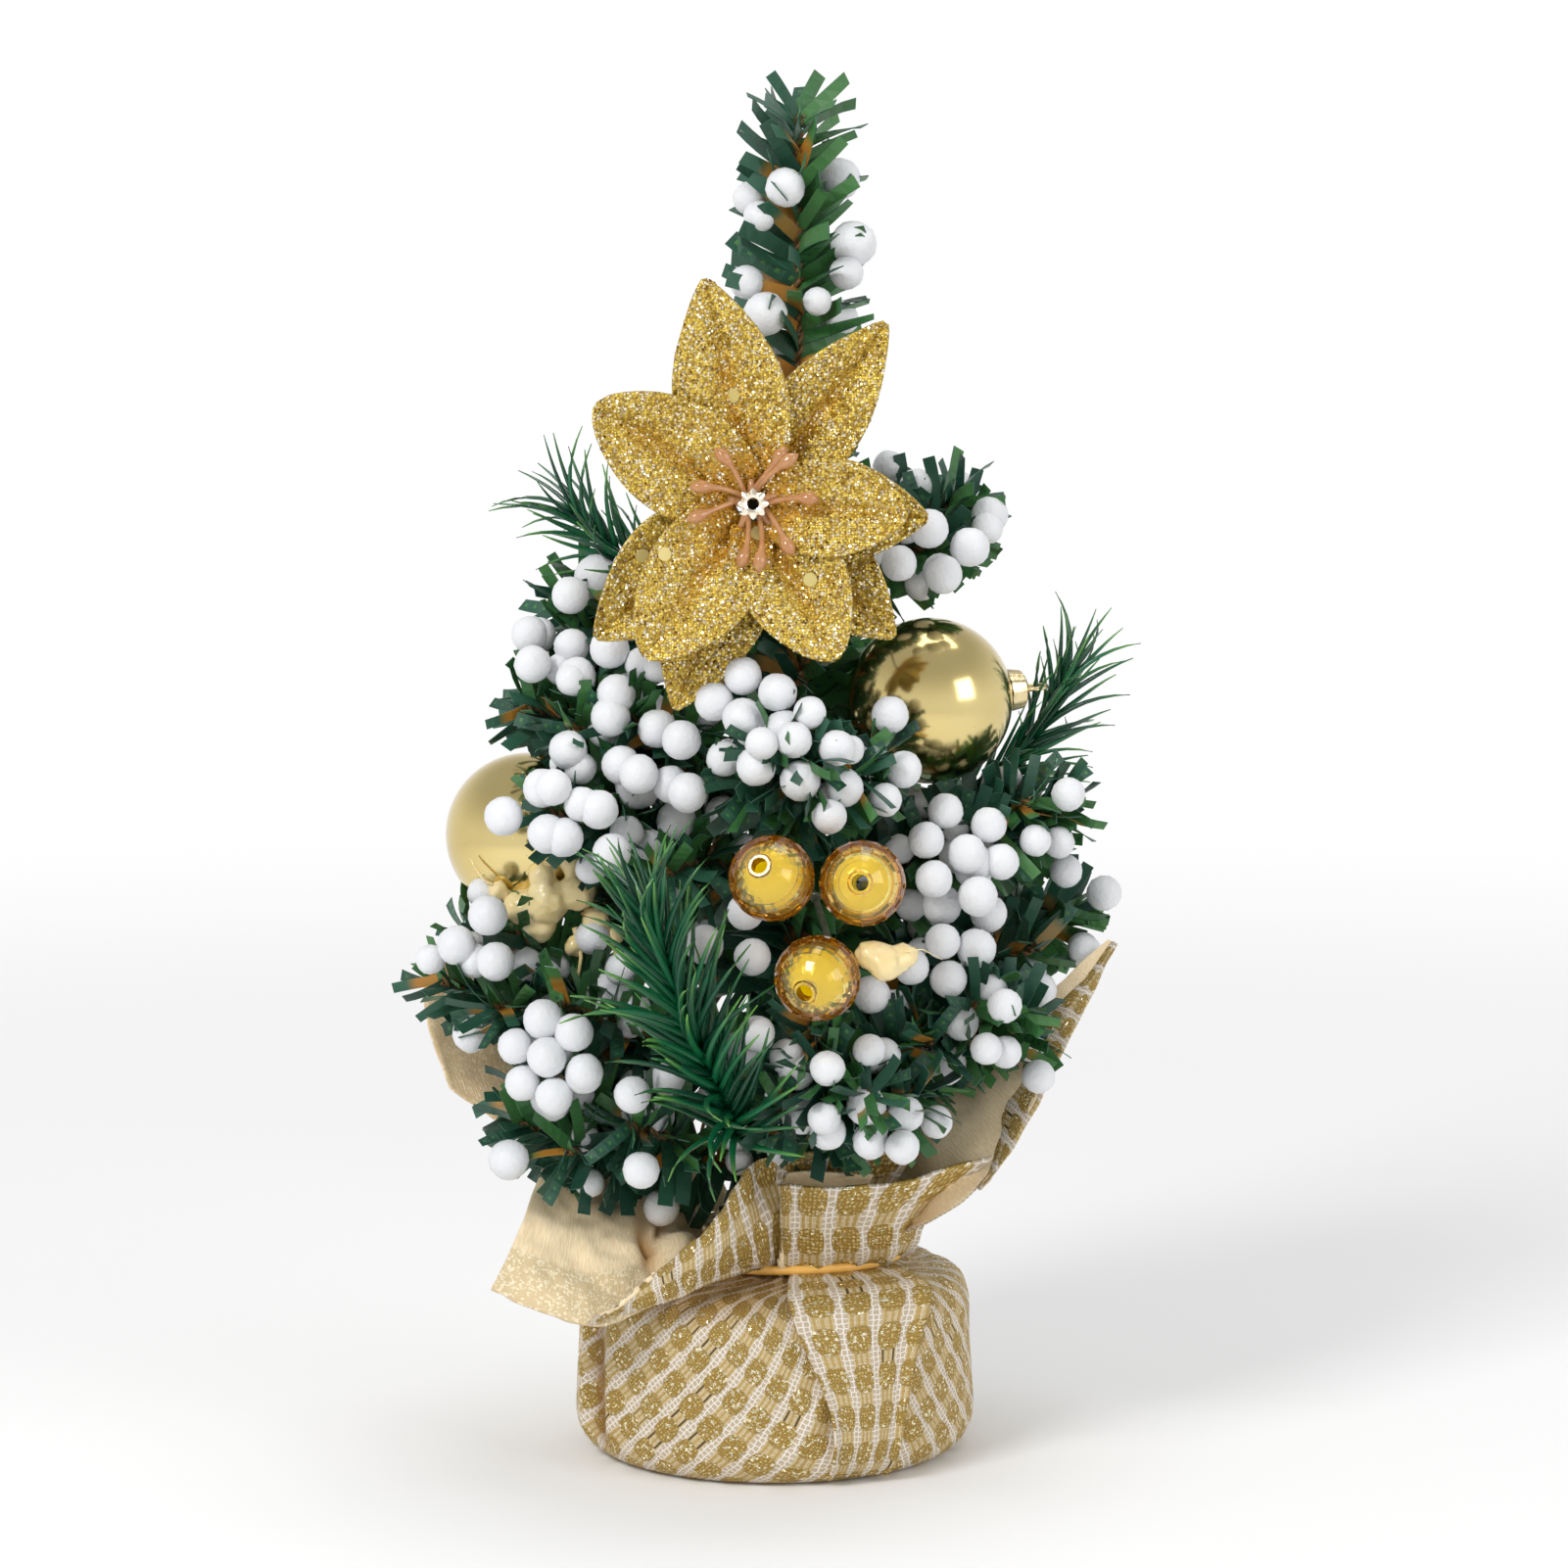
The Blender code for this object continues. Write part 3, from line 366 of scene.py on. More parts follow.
def pouch_surface(s, t):
    radius, height = pouch_line(s)
    away = math.tau * t - math.pi
    azimuth = TAIL_AZIMUTH + away
    gather = smooth(height, SHOULDER - 9 * MM, BAND_Z) * smooth(radius, 2 * NECK_RADIUS, NECK_RADIUS)
    gather = max(gather, 0.35 * smooth(height, 12 * MM, SHOULDER))
    swing = azimuth + 0.35 * (1 - gather)
    fold = 0.55 * crest(15 * swing) + 0.3 * crest(23 * swing + 1.3) + 0.25 * crest(9 * swing + 4.0)
    drag = math.exp(-((away * 29.7 * MM - 17 * MM + height * 0.9) / (2.6 * MM)) ** 2) * 0.8
    drag += math.exp(-((away * 29.7 * MM + 12 * MM - height * 0.5) / (2.2 * MM)) ** 2) * 0.9
    drag += math.exp(-((away * 29.7 * MM + 22 * MM - height * 0.9) / (2.2 * MM)) ** 2) * 0.5 * smooth(height, 5 * MM, 18 * MM)
    pleat = -0.6 * crease_share(away, height) + 1.7 * math.exp(-(((away + math.radians(91)) / 0.06) ** 2))
    pleat += 0.9 * math.exp(-(((away + math.radians(77)) / 0.07) ** 2))
    wall = smooth(height, 1.5 * MM, 7 * MM)
    soft = noise.noise(Vector((math.cos(azimuth) * 2.2, math.sin(azimuth) * 2.2, height * 90)))
    calm = 1 - 0.65 * math.exp(-(((height - BAND_Z) / (1.6 * MM)) ** 2))
    out = (gather * fold * 1.1 * calm + wall * ((drag + pleat) * (1 - gather) + 0.3 * soft)) * MM
    shift = NECK_X * smooth(radius, flat_rim, NECK_RADIUS + 2 * MM) * smooth(height, SHOULDER - 3 * MM, SHOULDER)
    radius += out
    lift = gather * fold * 0.4 * MM if height < BAND_Z - 1 * MM else 0.0
    return (shift + radius * math.cos(azimuth), radius * math.sin(azimuth), max(height + lift, 0.0))


turns = np.linspace(-math.pi, math.pi, 721)
leans = -SLANT * np.tanh(turns / FAN)
pattern_across = np.cumsum(np.cos(leans)) * (turns[1] - turns[0]) * POUCH_RADIUS
pattern_along = np.cumsum(np.sin(leans)) * (turns[1] - turns[0]) * POUCH_RADIUS


def pouch_pattern(s, t):
    away = math.tau * t - math.pi
    lean = -SLANT * math.tanh(away / FAN)
    rise = s * pouch_run - flat_rim - 14 * MM
    across = float(np.interp(away, turns, pattern_across)) - rise * math.sin(lean)
    return (across, float(np.interp(away, turns, pattern_along)) + rise * math.cos(lean))


# Painted shade on the pouch: strongest in the crease left of the front and in the hollow under the roll.
def pouch_painted_shade(s, t):
    radius, height = pouch_line(s)
    away = math.tau * t - math.pi
    roll_shade = math.exp(-(((away + 0.9) / 0.5) ** 2)) * smooth(height, SHOULDER - 5 * MM, SHOULDER + 1 * MM)
    return min(1.0, 1.3 * crease_share(away, height) + 0.9 * roll_shade)


def pouch_painted_glints(s, t):
    """Painted highlight: where the cloth would catch the light, left of the tail, more painted glints are strewn."""
    height = pouch_line(s)[1]
    away = math.tau * t - math.pi
    return math.exp(-(((away + 0.42 - 18 * (height - 12 * MM)) / 0.24) ** 2)) * smooth(height, 2 * MM, 8 * MM)


pouch = show(
    "cloth_pouch",
    sheet_mesh("cloth_pouch", pouch_surface, pouch_pattern, 72, 288, LUREX, BACKING, ring=True, marks={"deep": pouch_painted_shade, "bright": pouch_painted_glints}),
    "tree",
    ["wrap_pouch"],
)


def through(points, t):
    """A place on the smooth line through the points, from 0 at the first to 1 at the last."""
    last = len(points) - 1
    k = min(int(t * last), last - 1)
    f = t * last - k
    a, b = points[k], points[k + 1]
    before = points[k - 1] if k else a * 2 - b
    after = points[k + 2] if k + 2 <= last else b * 2 - a
    bend = before * 2 - a * 5 + b * 4 - after
    return (a * 2 + (b - before) * f + bend * f * f + (a * 3 - before - b * 3 + after) * f**3) / 2


def drape(rows):
    """A smooth surface through rows of points, in millimetres."""
    net = [[Vector(p) * MM for p in row] for row in rows]
    return lambda s, t: through([through(row, t) for row in net], s)


def crumpled(surface, size, amount, seed, folds=None):
    """The surface with soft dents, and any folds, pushed along its own normal."""

    def made(s, t):
        here = surface(s, t)
        e = 0.01
        right = surface(s, min(t + e, 1)) - surface(s, max(t - e, 0))
        up = surface(min(s + e, 1), t) - surface(max(s - e, 0), t)
        normal = right.cross(up).normalized()
        push = noise.fractal(here / (size * MM) + Vector((seed, 0, 0)), 0.8, 2.0, 3) * amount
        if folds:
            push += folds(s, t)
        return here + normal * push * MM

    return made


def neck(azimuth, height, stand=0.8):
    """A point on the outside of the gathered neck, in millimetres."""
    a = math.radians(azimuth)
    radius = NECK_RADIUS / MM + stand
    return (NECK_X / MM + radius * math.cos(a), radius * math.sin(a), height)


def corner_cloth(name, surface, cut, grid, replaced, face, reverse, marks=None):
    """A part of the cloth that stands clear of the base.  cut is its flat size, along t and along s, in millimetres."""
    wide, long = cut[0] * MM, cut[1] * MM
    mesh = sheet_mesh(name, surface, lambda s, t: (t * wide, s * long), *grid, face, reverse, marks=marks)
    made = show(name, mesh, "tree", replaced)
    return made


# The tail: the front corner, which hangs from the band over the base and nearly reaches the table.


def tail_surface(s, t):
    top = [(NECK_RADIUS + 1.5 * MM, BAND_Z + 1.0 * MM), (NECK_RADIUS + 1.9 * MM, BAND_Z - 0.2 * MM), (NECK_RADIUS + 4.6 * MM, SHOULDER + 1.9 * MM)]
    rim = flat_rim + 0.2 * MM
    down = arc((rim, SHOULDER - ROUNDING + 1.4 * MM), ROUNDING, 78, 5, 5)
    down += [(POUCH_RADIUS + 1.3 * MM, 12 * MM), (POUCH_RADIUS + 0.9 * MM, 6.5 * MM), (POUCH_RADIUS - 0.5 * MM, 3.0 * MM), (POUCH_RADIUS - 2.6 * MM, 0.9 * MM)]
    line, _ = along_line(top + down)
    radius, height = line(s)
    left = TAIL_AZIMUTH - (0.50 - 0.37 * smooth(s, 0.0, 0.85))
    right = TAIL_AZIMUTH + (0.50 - 0.30 * smooth(s, 0.0, 0.9))
    azimuth = right + (left - right) * t
    gather = 1 - smooth(s, 0.0, 0.55)
    radius += (0.6 * gather * crest(3 * math.tau * t + 1.0) + 0.35 * math.sin(5 * t + 7 * s)) * smooth(s, 0.04, 0.2) * MM
    radius += 0.5 * MM * smooth(s, 0.04, 0.2) + 0.9 * MM * (1 - smooth(t, 0.0, 0.12) + smooth(t, 0.9, 1.0)) * smooth(s, 0.1, 0.3)
    shift = NECK_X * (1 - smooth(s, 0.05, 0.5))
    return Vector((shift + radius * math.cos(azimuth), radius * math.sin(azimuth), height))


tail = show(
    "cloth_tail",
    sheet_mesh("cloth_tail", tail_surface, lambda s, t: ((0.5 - t) * 15.5 * MM - 1.3 * MM, s * 41 * MM), 60, 26, LUREX, BACKING),
    "tree",
    ["wrap_tail"],
)

# The front panel stands up from the band.  At its left it folds back on itself, so its reverse shows above.
PANEL_ROWS = (
    ((8.5, -13.4, 28.2), (4.5, -14.0, 28.2), (1.8, -14.1, 28.1), (1.0, -14.4, 28.1), (1.8, -14.4, 28.0), (8.5, -13.9, 28.0), (14.4, -10.4, 28.0), (18.2, -3.8, 28.0)),
    ((9.5, -14.8, 31.5), (5, -15.7, 31.5), (1.8, -16, 31.3), (1.0, -16.9, 31.1), (2.0, -17.0, 31.0), (9, -16.9, 31.0), (16, -14.0, 31.2), (20.6, -7.5, 31.4)),
    ((11, -16.2, 37), (5.5, -17.2, 37.2), (1.9, -17.6, 37), (0.9, -18.6, 36.6), (2.2, -20.0, 36.8), (9, -20.2, 36.6), (16.6, -18.6, 37), (23.0, -14.5, 37.8)),
    ((14.2, -19.3, 44.4), (7, -19.8, 44.8), (2.0, -20.2, 44.6), (0.9, -22.0, 43.3), (2.2, -24.0, 43.6), (10, -24.6, 43.4), (20, -24.0, 44.4), (31.4, -22, 47.2)),
)
panel = crumpled(drape(PANEL_ROWS), 7, 0.45, 3, lambda s, t: 0.4 * (1 - s) * smooth(s, 0.02, 0.2) * crest(9 * math.tau * t))
corner_cloth("cloth_front_panel", panel, (42, 15.5), (34, 96), ["wrap_front_panel"], LUREX, BACKING)

# The roll: a turned hem climbs from the left corner, hollows beside the panel and passes behind it.
ROLL_ROWS = (
    ((-26.3, -31.0, 24.6), (-17.3, -28.9, 27.2), (-12, -26.8, 28.4), (-7.7, -23.2, 29.2), (-3.0, -17.2, 29.4), (1.0, -14.0, 28.6), (6, -12.6, 29.5), (12, -10.5, 30)),
    ((-25.4, -31.6, 25.9), (-17.6, -30.8, 29.4), (-12.3, -29.2, 31.8), (-7.6, -26.4, 34.0), (-3.6, -22.8, 36.0), (0.6, -17.4, 38.0), (7.5, -15.6, 38.0), (16, -14.2, 38.5)),
    ((-22.8, -31.6, 27.2), (-17.9, -30.6, 31.4), (-12.5, -28.6, 35.2), (-7.9, -25.4, 39.0), (-5.4, -24.0, 42.6), (-1.2, -19.8, 46.2), (9.5, -17.8, 47.0), (20.5, -16.6, 47.4)),
    ((-22.6, -30.6, 27.0), (-17.6, -29.6, 31.0), (-12.0, -27.6, 34.8), (-7.6, -24.0, 38.6), (-5.2, -21.6, 42.8), (-0.8, -17.2, 45.6), (9.8, -16.4, 46.0), (20.5, -15.0, 46.2)),
)
roll = crumpled(drape(ROLL_ROWS), 6, 0.6, 9, lambda s, t: 0.8 * smooth(t, 0.45, 0.6) * math.sin(9 * s) * (1 - s))
corner_cloth("cloth_roll", roll, (50, 13), (34, 110), [], LUREX, BACKING)

# The left corner lies spread with its reverse up, creased where it leaves the neck.
LEFT_ROWS = (
    (neck(-128, 30.0, 1.0), neck(-146, 31.5, 0.8), neck(-165, 32.5, 1.6), neck(-184, 33.5, 1.0)),
    ((-16.5, -25.5, 27.0), (-16.5, -19, 33.0), (-17, -13, 35.5), (-15.5, -3, 40)),
    ((-26.4, -30.9, 24.7), (-27.0, -24, 32.0), (-27.0, -15, 38.5), (-24, -6, 43)),
    ((-40.3, -30, 29.7), (-37.0, -24.5, 35.9), (-33.6, -14, 43.7), (-30, -8, 46)),
)


def left_folds(s, t):
    crease = math.exp(-(((s - 0.34 - 0.10 * t) / 0.035) ** 2)) * math.exp(-(((t - 0.45) / 0.25) ** 2))
    pillow = math.exp(-(((s - 0.22) / 0.09) ** 2)) * math.exp(-(((t - 0.35) / 0.22) ** 2))
    second = math.exp(-(((s - 0.46 + 0.25 * t) / 0.03) ** 2)) * math.exp(-(((t - 0.7) / 0.2) ** 2))
    return 2.4 * pillow, 2.6 * crease + 1.4 * second


left = crumpled(drape(LEFT_ROWS), 9, 1.2, 20, lambda s, t: left_folds(s, t)[0] - left_folds(s, t)[1])
# The 'deep' mark paints shade into the creases and where the corner leaves the neck.
corner_cloth(
    "cloth_corner_left", left, (28, 34), (64, 56), ["wrap_corner_left"], BACKING, LUREX,
    marks={
        "sheer": lambda s, t: (1 - smooth(t, 0.27, 0.30)) * smooth(s, 0.35, 0.45),
        "deep": lambda s, t: min(1.0, 0.45 * left_folds(s, t)[1] + 0.5 * (1 - smooth(s, 0.02, 0.2))),
    },
)

# The left back corner curls up behind the stems.
BACK_ROWS = (
    (neck(178, 32.0, 1.0), neck(165, 33.0, 1.6), neck(150, 33.0, 0.8), neck(135, 34.0, 1.2)),
    ((-22, -2, 37), (-22, 4, 43), (-19, 9, 46), (-14, 13, 47)),
    ((-35, -3, 44.5), (-36, 3, 54), (-33, 8, 60), (-27, 12, 62)),
    ((-47.5, -3, 54), (-51, 1, 62), (-51, 4, 70), (-42, 8, 78)),
)
back = crumpled(drape(BACK_ROWS), 12, 1.4, 44)
# The 'deep' mark paints a light shade over the whole back corner, which stands behind the stems.
corner_cloth(
    "cloth_corner_back", back, (22, 48), (50, 34), ["wrap_corner_back"], BACKING, LUREX,
    marks={"sheer": lambda s, t: 0.8, "deep": lambda s, t: 0.25},
)

# The right corner stands up to a point.  A wedge along its outer edge is turned over and shows its face.
RIGHT_ROWS = (
    (neck(-38, 31.0, 1.0), neck(-22, 32.5, 1.8), neck(-5, 33.0, 0.9), neck(12, 34.0, 1.3)),
    ((27, -21, 40.5), (24, -17, 43), (21, -11, 45.5), (17.5, -4, 47)),
    ((36, -18, 51.5), (33.5, -15, 53), (30.5, -11, 55.5), (28, -6, 57)),
    ((43, -12.5, 64), (41.5, -11.5, 64.5), (39.5, -9.5, 66), (37.5, -8, 66.5)),
    ((49.6, -8, 76), (49.3, -7.9, 76.1), (49, -7.8, 76.3), (48.6, -7.7, 76.5)),
)
right_corner = crumpled(drape(RIGHT_ROWS), 12, 0.8, 52)
# The 'deep' mark paints shade near the neck, where the corner rises from it.
corner_cloth("cloth_corner_right", right_corner, (22, 56), (60, 34), ["wrap_corner_right"], LUREX, BACKING,
    marks={"deep": lambda s, t: 0.35 * (1 - smooth(s, 0.1, 0.35))})


def right_hem_surface(s, t):
    along = 0.30 + 0.70 * t
    edge = right_corner(along, 0.0)
    inward = (right_corner(along, 1.0) - edge).normalized()
    wide = 8.6 * MM * (smooth(t, 0.0, 0.34) - 0.96 * smooth(t, 0.3, 1.15) ** 0.8)
    return edge + Vector((0.2, -0.7, 0)) * MM + inward * max(wide, 0.5 * MM) * s + Vector((0.3, -1, 0.2)) * MM * math.sin(math.pi * s) * 0.8


corner_cloth("cloth_hem_right", crumpled(right_hem_surface, 8, 0.3, 61), (42, 10), (12, 60), [], LUREX, BACKING)

# --- rubber band --------------------------------------------------------------------------------------------
# A small amber rubber band, stretched round the gathered neck.  The real band is flat in section; here it is a round
# tube, not quite level.


def sweep(name, paths, sides=8):
    """Closed tubes.  Each path is a list of (point, radius).  A third item, flattening along local Z, is not used."""
    points, faces = [], []
    for path in paths:
        looped = (path[0][0] - path[-1][0]).length < 1e-7
        stations = path[:-1] if looped else path
        count = len(stations)
        frame_up = None
        first = len(points)
        for k, station in enumerate(stations):
            after = stations[(k + 1) % count][0] if looped or k + 1 < count else station[0]
            before = stations[k - 1][0] if looped or k else station[0]
            way = (after - before).normalized()
            if frame_up is None:
                frame_up = way.orthogonal().normalized()
            frame_up = (frame_up - way * frame_up.dot(way)).normalized()
            side = way.cross(frame_up)
            for n in range(sides):
                a = math.tau * n / sides
                points.append(station[0] + (frame_up * math.cos(a) + side * math.sin(a)) * station[1])
        rings = count if looped else count - 1
        for k in range(rings):
            a, b = first + k * sides, first + ((k + 1) % count) * sides
            faces += [(a + n, a + (n + 1) % sides, b + (n + 1) % sides, b + n) for n in range(sides)]
        if not looped:
            faces.append(tuple(first + n for n in reversed(range(sides))))
            faces.append(tuple(first + (count - 1) * sides + n for n in range(sides)))
    mesh = bpy.data.meshes.new(name)
    mesh.from_pydata(points, [], faces)
    mesh.shade_smooth()
    return mesh


RUBBER, tree, shader = new_material(
    "amber_rubber", {"Roughness": 0.38, "Subsurface Weight": 0.35, "Subsurface Radius": (0.002, 0.001, 0.0004)}
)
cloud = grain(tree, 260.0, object_place(tree))
tree.links.new(shade(tree, cloud, (0.80, 0.42, 0.07, 1), (0.93, 0.60, 0.18, 1)), shader.inputs["Base Color"])
bumped(tree, shader, grain(tree, 1500.0, object_place(tree)), 0.00006)


ring = []
for k in range(97):
    a = math.tau * (k % 96) / 96
    over = (1 - math.sin(a)) / 2  # it lies over the most cloth in front
    radius = NECK_RADIUS + (1.5 + 1.2 * over + 0.2 * math.sin(5 * a)) * MM
    height = BAND_Z + 0.5 * MM * math.sin(a + 2.2)
    ring.append((Vector((NECK_X + radius * math.cos(a), radius * math.sin(a), height)), 0.7 * MM))
band = sweep("rubber_band_ring", [ring], 10)
band.materials.append(RUBBER)
show("rubber_band_ring", band, "tree", ["rubber_band"])

# --- tinsel -------------------------------------------------------------------------------------------------
# Strips of plastic film, cut square and clamped between two twisted wires.  One face is a dull blue green,
# the other a brighter green, and a few strips are brown near the wire.


def strip(name, length, width, curl, twist, segments, thickness, taper=1.0):
    """A strip along +Z from the wire outwards, with its side and its share of the way out kept as attributes."""
    points, share = [], []
    place, angle = Vector((0, 0, 0)), 0.0
    for k in range(segments + 1):
        t = k / segments
        way = Vector((0, math.sin(angle), math.cos(angle)))
        face = Vector((0, math.cos(angle), -math.sin(angle)))
        turn = Quaternion(way, twist * t)
        wide = turn @ Vector((1, 0, 0)) * (width / 2 * (1 + (taper - 1) * t))
        deep = turn @ face * (thickness / 2)
        points += [place - wide - deep, place + wide - deep, place + wide + deep, place - wide + deep]
        share += [t] * 4
        place = place + way * (length / segments)
        angle += curl / segments
    faces, side = [], []
    for k in range(segments):
        a, b = 4 * k, 4 * k + 4
        for n in range(4):
            m = (n + 1) % 4
            faces.append((a + n, a + m, b + m, b + n))
            side.append(1.0 if n == 2 else 0.0)
    end = 4 * segments
    faces += [(3, 2, 1, 0), (end, end + 1, end + 2, end + 3)]
    side += [0.0, 0.0]
    mesh = bpy.data.meshes.new(name)
    mesh.from_pydata(points, [], faces)
    mesh.attributes.new("out", "FLOAT", "POINT").data.foreach_set("value", share)
    mesh.attributes.new("side", "FLOAT", "FACE").data.foreach_set("value", side)
    return mesh


def variants(name, meshes):
    """A collection of shapes for a brush to pick from.  It isn't part of the scene."""
    made = bpy.data.collections.new(name)
    for k, mesh in enumerate(meshes):
        made.objects.link(bpy.data.objects.new(f"{name}_{k}", mesh))
    return made


def brush_tree():
    """Geometry Nodes: sets one of a collection's shapes round a line again and again, leaning to its far end."""
    tree = bpy.data.node_groups.new("brush", "GeometryNodeTree")
    face = tree.interface
    face.new_socket("Line", in_out="INPUT", socket_type="NodeSocketGeometry")
    face.new_socket("Shapes", in_out="INPUT", socket_type="NodeSocketCollection")
    face.new_socket("Finish", in_out="INPUT", socket_type="NodeSocketMaterial")
    face.new_socket("Count", in_out="INPUT", socket_type="NodeSocketInt")
    face.new_socket("Seed", in_out="INPUT", socket_type="NodeSocketInt")
    for name in ("Start", "Turn", "Swing", "Turn Spread", "Lean Foot", "Lean Tip", "Lean Spread", "Size", "Size Spread", "Tip Size", "Roll"):
        face.new_socket(name, in_out="INPUT", socket_type="NodeSocketFloat")
    face.new_socket("Mesh", in_out="OUTPUT", socket_type="NodeSocketGeometry")
    given = add(tree, "NodeGroupInput").outputs
    index = add(tree, "GeometryNodeInputIndex").outputs[0]

    def chance(low, high, offset):
        seed = sums(tree, "ADD", given["Seed"], offset)
        node = add(tree, "FunctionNodeRandomValue", {"Seed": seed}, data_type="FLOAT")
        for socket, value in ((node.inputs[2], low), (node.inputs[3], high)):
            if isinstance(value, bpy.types.NodeSocket):
                tree.links.new(value, socket)
            else:
                socket.default_value = value
        return node.outputs[1]

    curve = add(tree, "GeometryNodeMeshToCurve", {"Mesh": given["Line"]}).outputs[0]
    points = add(tree, "GeometryNodeCurveToPoints", {"Curve": curve, "Count": given["Count"]}, mode="COUNT").outputs
    share = sums(tree, "DIVIDE", index, given["Count"])
    swing = sums(tree, "MULTIPLY", sums(tree, "SINE", sums(tree, "MULTIPLY", index, 2.2)), given["Swing"])
    spin = sums(tree, "MULTIPLY_ADD", index, given["Turn"], sums(tree, "ADD", given["Start"], swing))
    spin = sums(tree, "ADD", spin, chance(sums(tree, "MULTIPLY", given["Turn Spread"], -1.0), given["Turn Spread"], 11))
    start = add(tree, "ShaderNodeVectorMath", {0: points["Tangent"], 1: (0.31, 0.17, 0.93)}, operation="CROSS_PRODUCT").outputs[0]
    start = add(tree, "ShaderNodeVectorMath", {0: start}, operation="NORMALIZE").outputs[0]
    outward = add(tree, "ShaderNodeVectorRotate", {"Vector": start, "Axis": points["Tangent"], "Angle": spin}, rotation_type="AXIS_ANGLE").outputs[0]
    lean = sums(tree, "MULTIPLY_ADD", share, sums(tree, "SUBTRACT", given["Lean Tip"], given["Lean Foot"]), given["Lean Foot"])
    lean = sums(tree, "ADD", lean, chance(sums(tree, "MULTIPLY", given["Lean Spread"], -1.0), given["Lean Spread"], 23))
    forward = add(tree, "ShaderNodeVectorMath", {0: points["Tangent"], "Scale": sums(tree, "COSINE", lean)}, operation="SCALE").outputs[0]
    sideways = add(tree, "ShaderNodeVectorMath", {0: outward, "Scale": sums(tree, "SINE", lean)}, operation="SCALE").outputs[0]
    way = add(tree, "ShaderNodeVectorMath", {0: forward, 1: sideways}, operation="ADD").outputs[0]
    facing = add(tree, "FunctionNodeAxesToRotation", {"Primary Axis": way, "Secondary Axis": points["Tangent"]}, primary_axis="Z", secondary_axis="X").outputs[0]
    roll = add(tree, "FunctionNodeAxisAngleToRotation", {"Axis": (0, 0, 1), "Angle": chance(sums(tree, "MULTIPLY", given["Roll"], -1.0), given["Roll"], 37)}).outputs[0]
    facing = add(tree, "FunctionNodeRotateRotation", {0: facing, 1: roll}, rotation_space="LOCAL").outputs[0]
    size = chance(sums(tree, "SUBTRACT", given["Size"], given["Size Spread"]), sums(tree, "ADD", given["Size"], given["Size Spread"]), 41)
    shrink = sums(tree, "MULTIPLY_ADD", sums(tree, "POWER", share, 3.0), sums(tree, "SUBTRACT", given["Tip Size"], 1.0), 1.0)
    shapes = add(tree, "GeometryNodeCollectionInfo", {0: given["Shapes"], 1: True, 2: True}).outputs[0]
    placed = add(
        tree,
        "GeometryNodeInstanceOnPoints",
        {"Points": points[0], "Instance": shapes, "Pick Instance": True, "Rotation": facing, "Scale": sums(tree, "MULTIPLY", size, shrink)},
    ).outputs[0]
    kept = add(tree, "GeometryNodeStoreNamedAttribute", {"Geometry": placed, "Name": "tone"}, data_type="FLOAT", domain="INSTANCE")
    tree.links.new(chance(0.0, 1.0, 53), kept.inputs["Value"])
    real = add(tree, "GeometryNodeRealizeInstances", {0: kept.outputs[0]}).outputs[0]
    done = add(tree, "GeometryNodeSetMaterial", {"Geometry": real, "Material": given["Finish"]}).outputs[0]
    add(tree, "NodeGroupOutput", {0: done})
    return tree


BRUSH = brush_tree()


def line_object(lines):
    """Bare edges along each line of points."""
    points = [p for line in lines for p in line]
    edges, start = [], 0
    for line in lines:
        edges += [(start + k, start + k + 1) for k in range(len(line) - 1)]
        start += len(line)
    mesh = bpy.data.meshes.new("lines")
    mesh.from_pydata(points, edges, [])
    obj = bpy.data.objects.new("lines", mesh)
    bpy.context.scene.collection.objects.link(obj)
    return obj


def brushed(line, values):
    """The mesh of a brush along one line."""
    obj = line_object([line])
    grow = obj.modifiers.new("grow", "NODES")
    grow.node_group = BRUSH
    for item in BRUSH.interface.items_tree:
        if item.in_out == "INPUT" and item.name in values:
            grow[item.identifier] = values[item.name]
    return plain_mesh(obj)


def joined(name, meshes):
    """Several meshes as one, with their attributes and materials."""
    objects = []
    for mesh in meshes:
        obj = bpy.data.objects.new(name, mesh)
        bpy.context.scene.collection.objects.link(obj)
        objects.append(obj)
    if len(objects) > 1:
        with bpy.context.temp_override(active_object=objects[0], selected_editable_objects=objects):
            bpy.ops.object.join()
    made = objects[0].data
    bpy.data.objects.remove(objects[0])
    return made


def make_film():
    made, tree, shader = new_material("pvc_film", {"Roughness": 0.42, "Specular IOR Level": 0.45, "Coat Weight": 0.08})
    side = add(tree, "ShaderNodeAttribute", attribute_name="side").outputs["Fac"]
    out = add(tree, "ShaderNodeAttribute", attribute_name="out").outputs["Fac"]
    tone = add(tree, "ShaderNodeAttribute", attribute_name="tone").outputs["Fac"]
    dark = shade(tree, tone, (0.012, 0.055, 0.036, 1), (0.026, 0.105, 0.062, 1))
    bright = shade(tree, tone, (0.026, 0.115, 0.030, 1), (0.070, 0.22, 0.060, 1))
    colour = shade(tree, side, dark, bright)
    brown = sums(tree, "MULTIPLY", step(tree, tone, 0.86, 0.90), step(tree, out, 0.75, 0.45))
    colour = shade(tree, brown, colour, (0.42, 0.19, 0.025, 1))
    root = step(tree, out, 0.10, 0.0)
    colour = shade(tree, sums(tree, "MULTIPLY", root, 0.7), colour, (0.10, 0.06, 0.02, 1))
    tree.links.new(colour, shader.inputs["Base Color"])
    place = add(tree, "ShaderNodeMapping", {"Vector": object_place(tree), "Scale": (1.0, 1.0, 1.0)}).outputs[0]
    weave = cells(tree, 3300.0, place)["Distance"]
    bumped(tree, shader, weave, 0.00003, 0.6)
    return made


